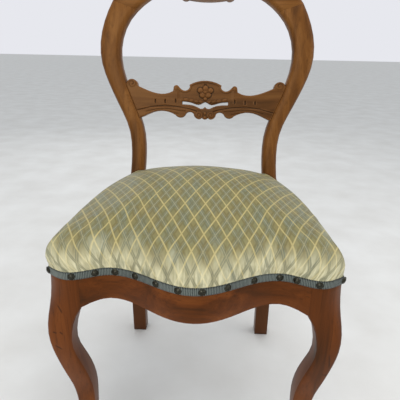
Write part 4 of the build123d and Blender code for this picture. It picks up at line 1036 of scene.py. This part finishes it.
def cross_carving(u, v, inside):
    """Height of the cross rail's carved face above its CAD face. Its halves are alike."""
    z = v * math.cos(TILT) + ORIGIN_Z
    a = np.abs(u)
    h = np.full(len(u), 1.7)
    # a sunk field round the flower, within a rim that follows the hump
    hump = (a < HUMP_HALF) & (z > HUMP_BOTTOM)
    rim = held((inside - 3.4) / 1.0)
    h -= (0.65 * np.where(hump, rim, 0) * held((HUMP_HALF - a) / 6)
          * held((z - HUMP_BOTTOM) / 5))
    # the long leaf along the lower half, its ridge and its veins
    leaf = held((592.5 - z) / 3.0) * held((150 - a) / 14)
    h += 0.75 * leaf * held((a - 9) / 8)
    h += groove(a, v, LEAF_RIDGE, 1.5, 1.3)
    h += groove(a, v, LEAF_VEIN, 1.1, 0.8)
    h += groove(a, v, LEAF_LOWER_VEIN, 1.0, 0.7)
    # small leaves over the piercing, and the scrolls and beads
    for x, leaf_z, turn in PIERCING_LEAVES:
        h = np.maximum(h, 0.9 + bump(a, v, x, leaf_z, 6.6, 3.7, 1.9, turn))
    h = np.maximum(h, 0.6 + scroll(a, v, 13.5, 575.5, 9.2, 2.6, 2.0))
    h = np.maximum(h, 0.6 + scroll(a, v, 50, 576.5, 7.5, 1.9, 1.2))
    h = np.maximum(h, 0.9 + scroll(a, v, 161, 639.5, 9.5, 1.7, 1.4, hand=-1))
    h = np.maximum(h, 0.9 + bump(a, v, 64, 631.5, 5.0, 5.4, 1.6))
    h = np.maximum(h, 0.6 + bump(u, v, 0, 579, 3.2, 4.0, 2.8))
    h = np.maximum(h, 0.6 + bump(u, v, 0, 570.5, 3.2, 3.4, 2.8))
    # the flower, its stem bead and the cut over it
    h = np.maximum(h, flower(u, v, CROSS_PETALS, CROSS_FLOWER_Z, 5.7, 2.8, 2.4))
    h = np.maximum(h, 1.0 + bump(u, v, 0, 609.8, 4.6, 4.4, 2.6))
    h += bump(u, v, 0, 639.0, 3.0, 2.4, -1.4)
    for x, cut_z in LENS_CUTS:
        h += bump(a, v, x, cut_z, 2.3, 5.0, -1.55)
        h += bump(a, v, x - 2.6, cut_z, 1.2, 4.2, 0.35)
    return np.clip(h, LEAST_HEIGHT, None)


CREST_FLOWER_Z = 856.0
CREST_LEAVES = ((24, 850, 0.9), (33, 838, 0.4), (26, 866, -0.9), (38, 862, -0.3), (18, 829, 0.2))


def crest_carving(u, v, inside):
    """Height of the crest's carved middle above its CAD face: a flower between scrolled leaves."""
    a = np.abs(u)
    h = np.full(len(u), 1.5)
    h -= 0.7 * held((inside - 4.0) / 1.2)
    for x, z, turn in CREST_LEAVES:
        h = np.maximum(h, 0.6 + bump(a, v, x, z, 8.5, 4.0, 2.2, turn))
    h = np.maximum(h, 0.5 + scroll(a, v, 44, 826, 9.0, 2.4, 1.8))
    h = np.maximum(h, 0.5 + scroll(a, v, 40, 880, 7.0, 2.2, 1.5, hand=-1))
    turns = [math.pi / 2 + 2 * math.pi * i / 5 for i in range(5)]
    spots = [(10.5 * math.cos(turn), CREST_FLOWER_Z + 10.2 * math.sin(turn)) for turn in turns]
    h = np.maximum(h, flower(u, v, spots, CREST_FLOWER_Z, 5.9, 2.8, 2.6))
    h = np.maximum(h, 0.6 + bump(u, v, 0, 884, 6.5, 4.5, 2.6))
    return np.clip(h, LEAST_HEIGHT, None)


PITCH_MM = 0.9  # between the carving's points
FLOWER_REACH = 16  # the CAD flower's own outline lies within this
SNAP = 0.35  # points this share of a pitch inside the outline move onto it, so that the edge is clean
TUCKED = -0.25  # the skin's edge lies this far under the CAD face
HOLLOW_CELLS = 3  # how far around a point its hollowness is judged
HOLLOW_DEEP = 1.0  # millimetres below its surroundings that count as a full hollow


def hollowness(heights, solid):
    """How far each point of a grid lies below its surroundings: 0 stands proud, 1 is a full hollow."""
    heights = np.where(solid, heights, 0)
    cells = range(-HOLLOW_CELLS, HOLLOW_CELLS + 1)
    around = np.zeros_like(heights)
    for i in cells:
        for j in cells:
            around += np.roll(heights, (i, j), (0, 1)) / len(cells) ** 2
    return held(0.5 + 0.5 * (around - heights) / HOLLOW_DEEP)


def carved_face(name, node, depth, flower_z, carving, rounding):
    """A finely carved skin over a CAD node's flat front, down to its outline all round."""
    edges = front_edges(node, depth, flower_z)
    low, high = edges.min((0, 1)) - PITCH_MM, edges.max((0, 1)) + PITCH_MM
    us, vs = np.arange(low[0], high[0], PITCH_MM), np.arange(low[1], high[1], PITCH_MM)
    grid = np.array(np.meshgrid(us, vs, indexing="ij")).reshape(2, -1).T
    inside, nearest = distance_inside(grid, edges)
    keep = inside > 0
    rows, columns = len(us), len(vs)
    solid = keep.reshape(rows, columns)
    cell = solid[:-1, :-1] | solid[1:, :-1] | solid[:-1, 1:] | solid[1:, 1:]
    used = np.zeros((rows, columns), bool)
    for i, j in ((0, 0), (1, 0), (0, 1), (1, 1)):
        used[i:rows - 1 + i, j:columns - 1 + j] |= cell
    number = np.full(rows * columns, -1)
    picked = np.flatnonzero(used.ravel())
    number[picked] = np.arange(len(picked))
    spots = np.where(keep[picked][:, None], grid[picked], nearest[picked])
    close = keep[picked] & (inside[picked] < PITCH_MM * SNAP)
    spots[close] = nearest[picked][close]
    depth_in = np.where(keep[picked] & ~close, inside[picked], 0.0)
    share = held(depth_in / rounding)
    height = carving(spots[:, 0], spots[:, 1], depth_in) * np.sqrt(1 - (1 - share) ** 2)
    out = depth + np.where(depth_in <= 0, TUCKED, height)
    places = (BACK_ORIGIN + spots[:, :1] * ACROSS + spots[:, 1:] * BACK_UP + out[:, None] * BACK_OUT) * MM
    faces = [[number[k] for k in (i * columns + j, (i + 1) * columns + j, (i + 1) * columns + j + 1,
                                  i * columns + j + 1)] for i, j in np.argwhere(cell)]
    made = piece(name, places, faces, wood_carved)
    level_cut = carving(grid[:, 0], grid[:, 1], np.maximum(inside, 0)).reshape(rows, columns)
    hollow = hollowness(level_cut, solid).ravel()[picked].astype(np.float32)
    made.data.attributes.new("hollow", "FLOAT", "POINT").data.foreach_set("value", hollow)


carved_face("cross_rail_carving", "cross_rail", -4.0, CROSS_FLOWER_Z, cross_carving, 2.6)
carved_face("crest_carving", "crest_rail", 3.0, CREST_FLOWER_Z, crest_carving, 3.0)
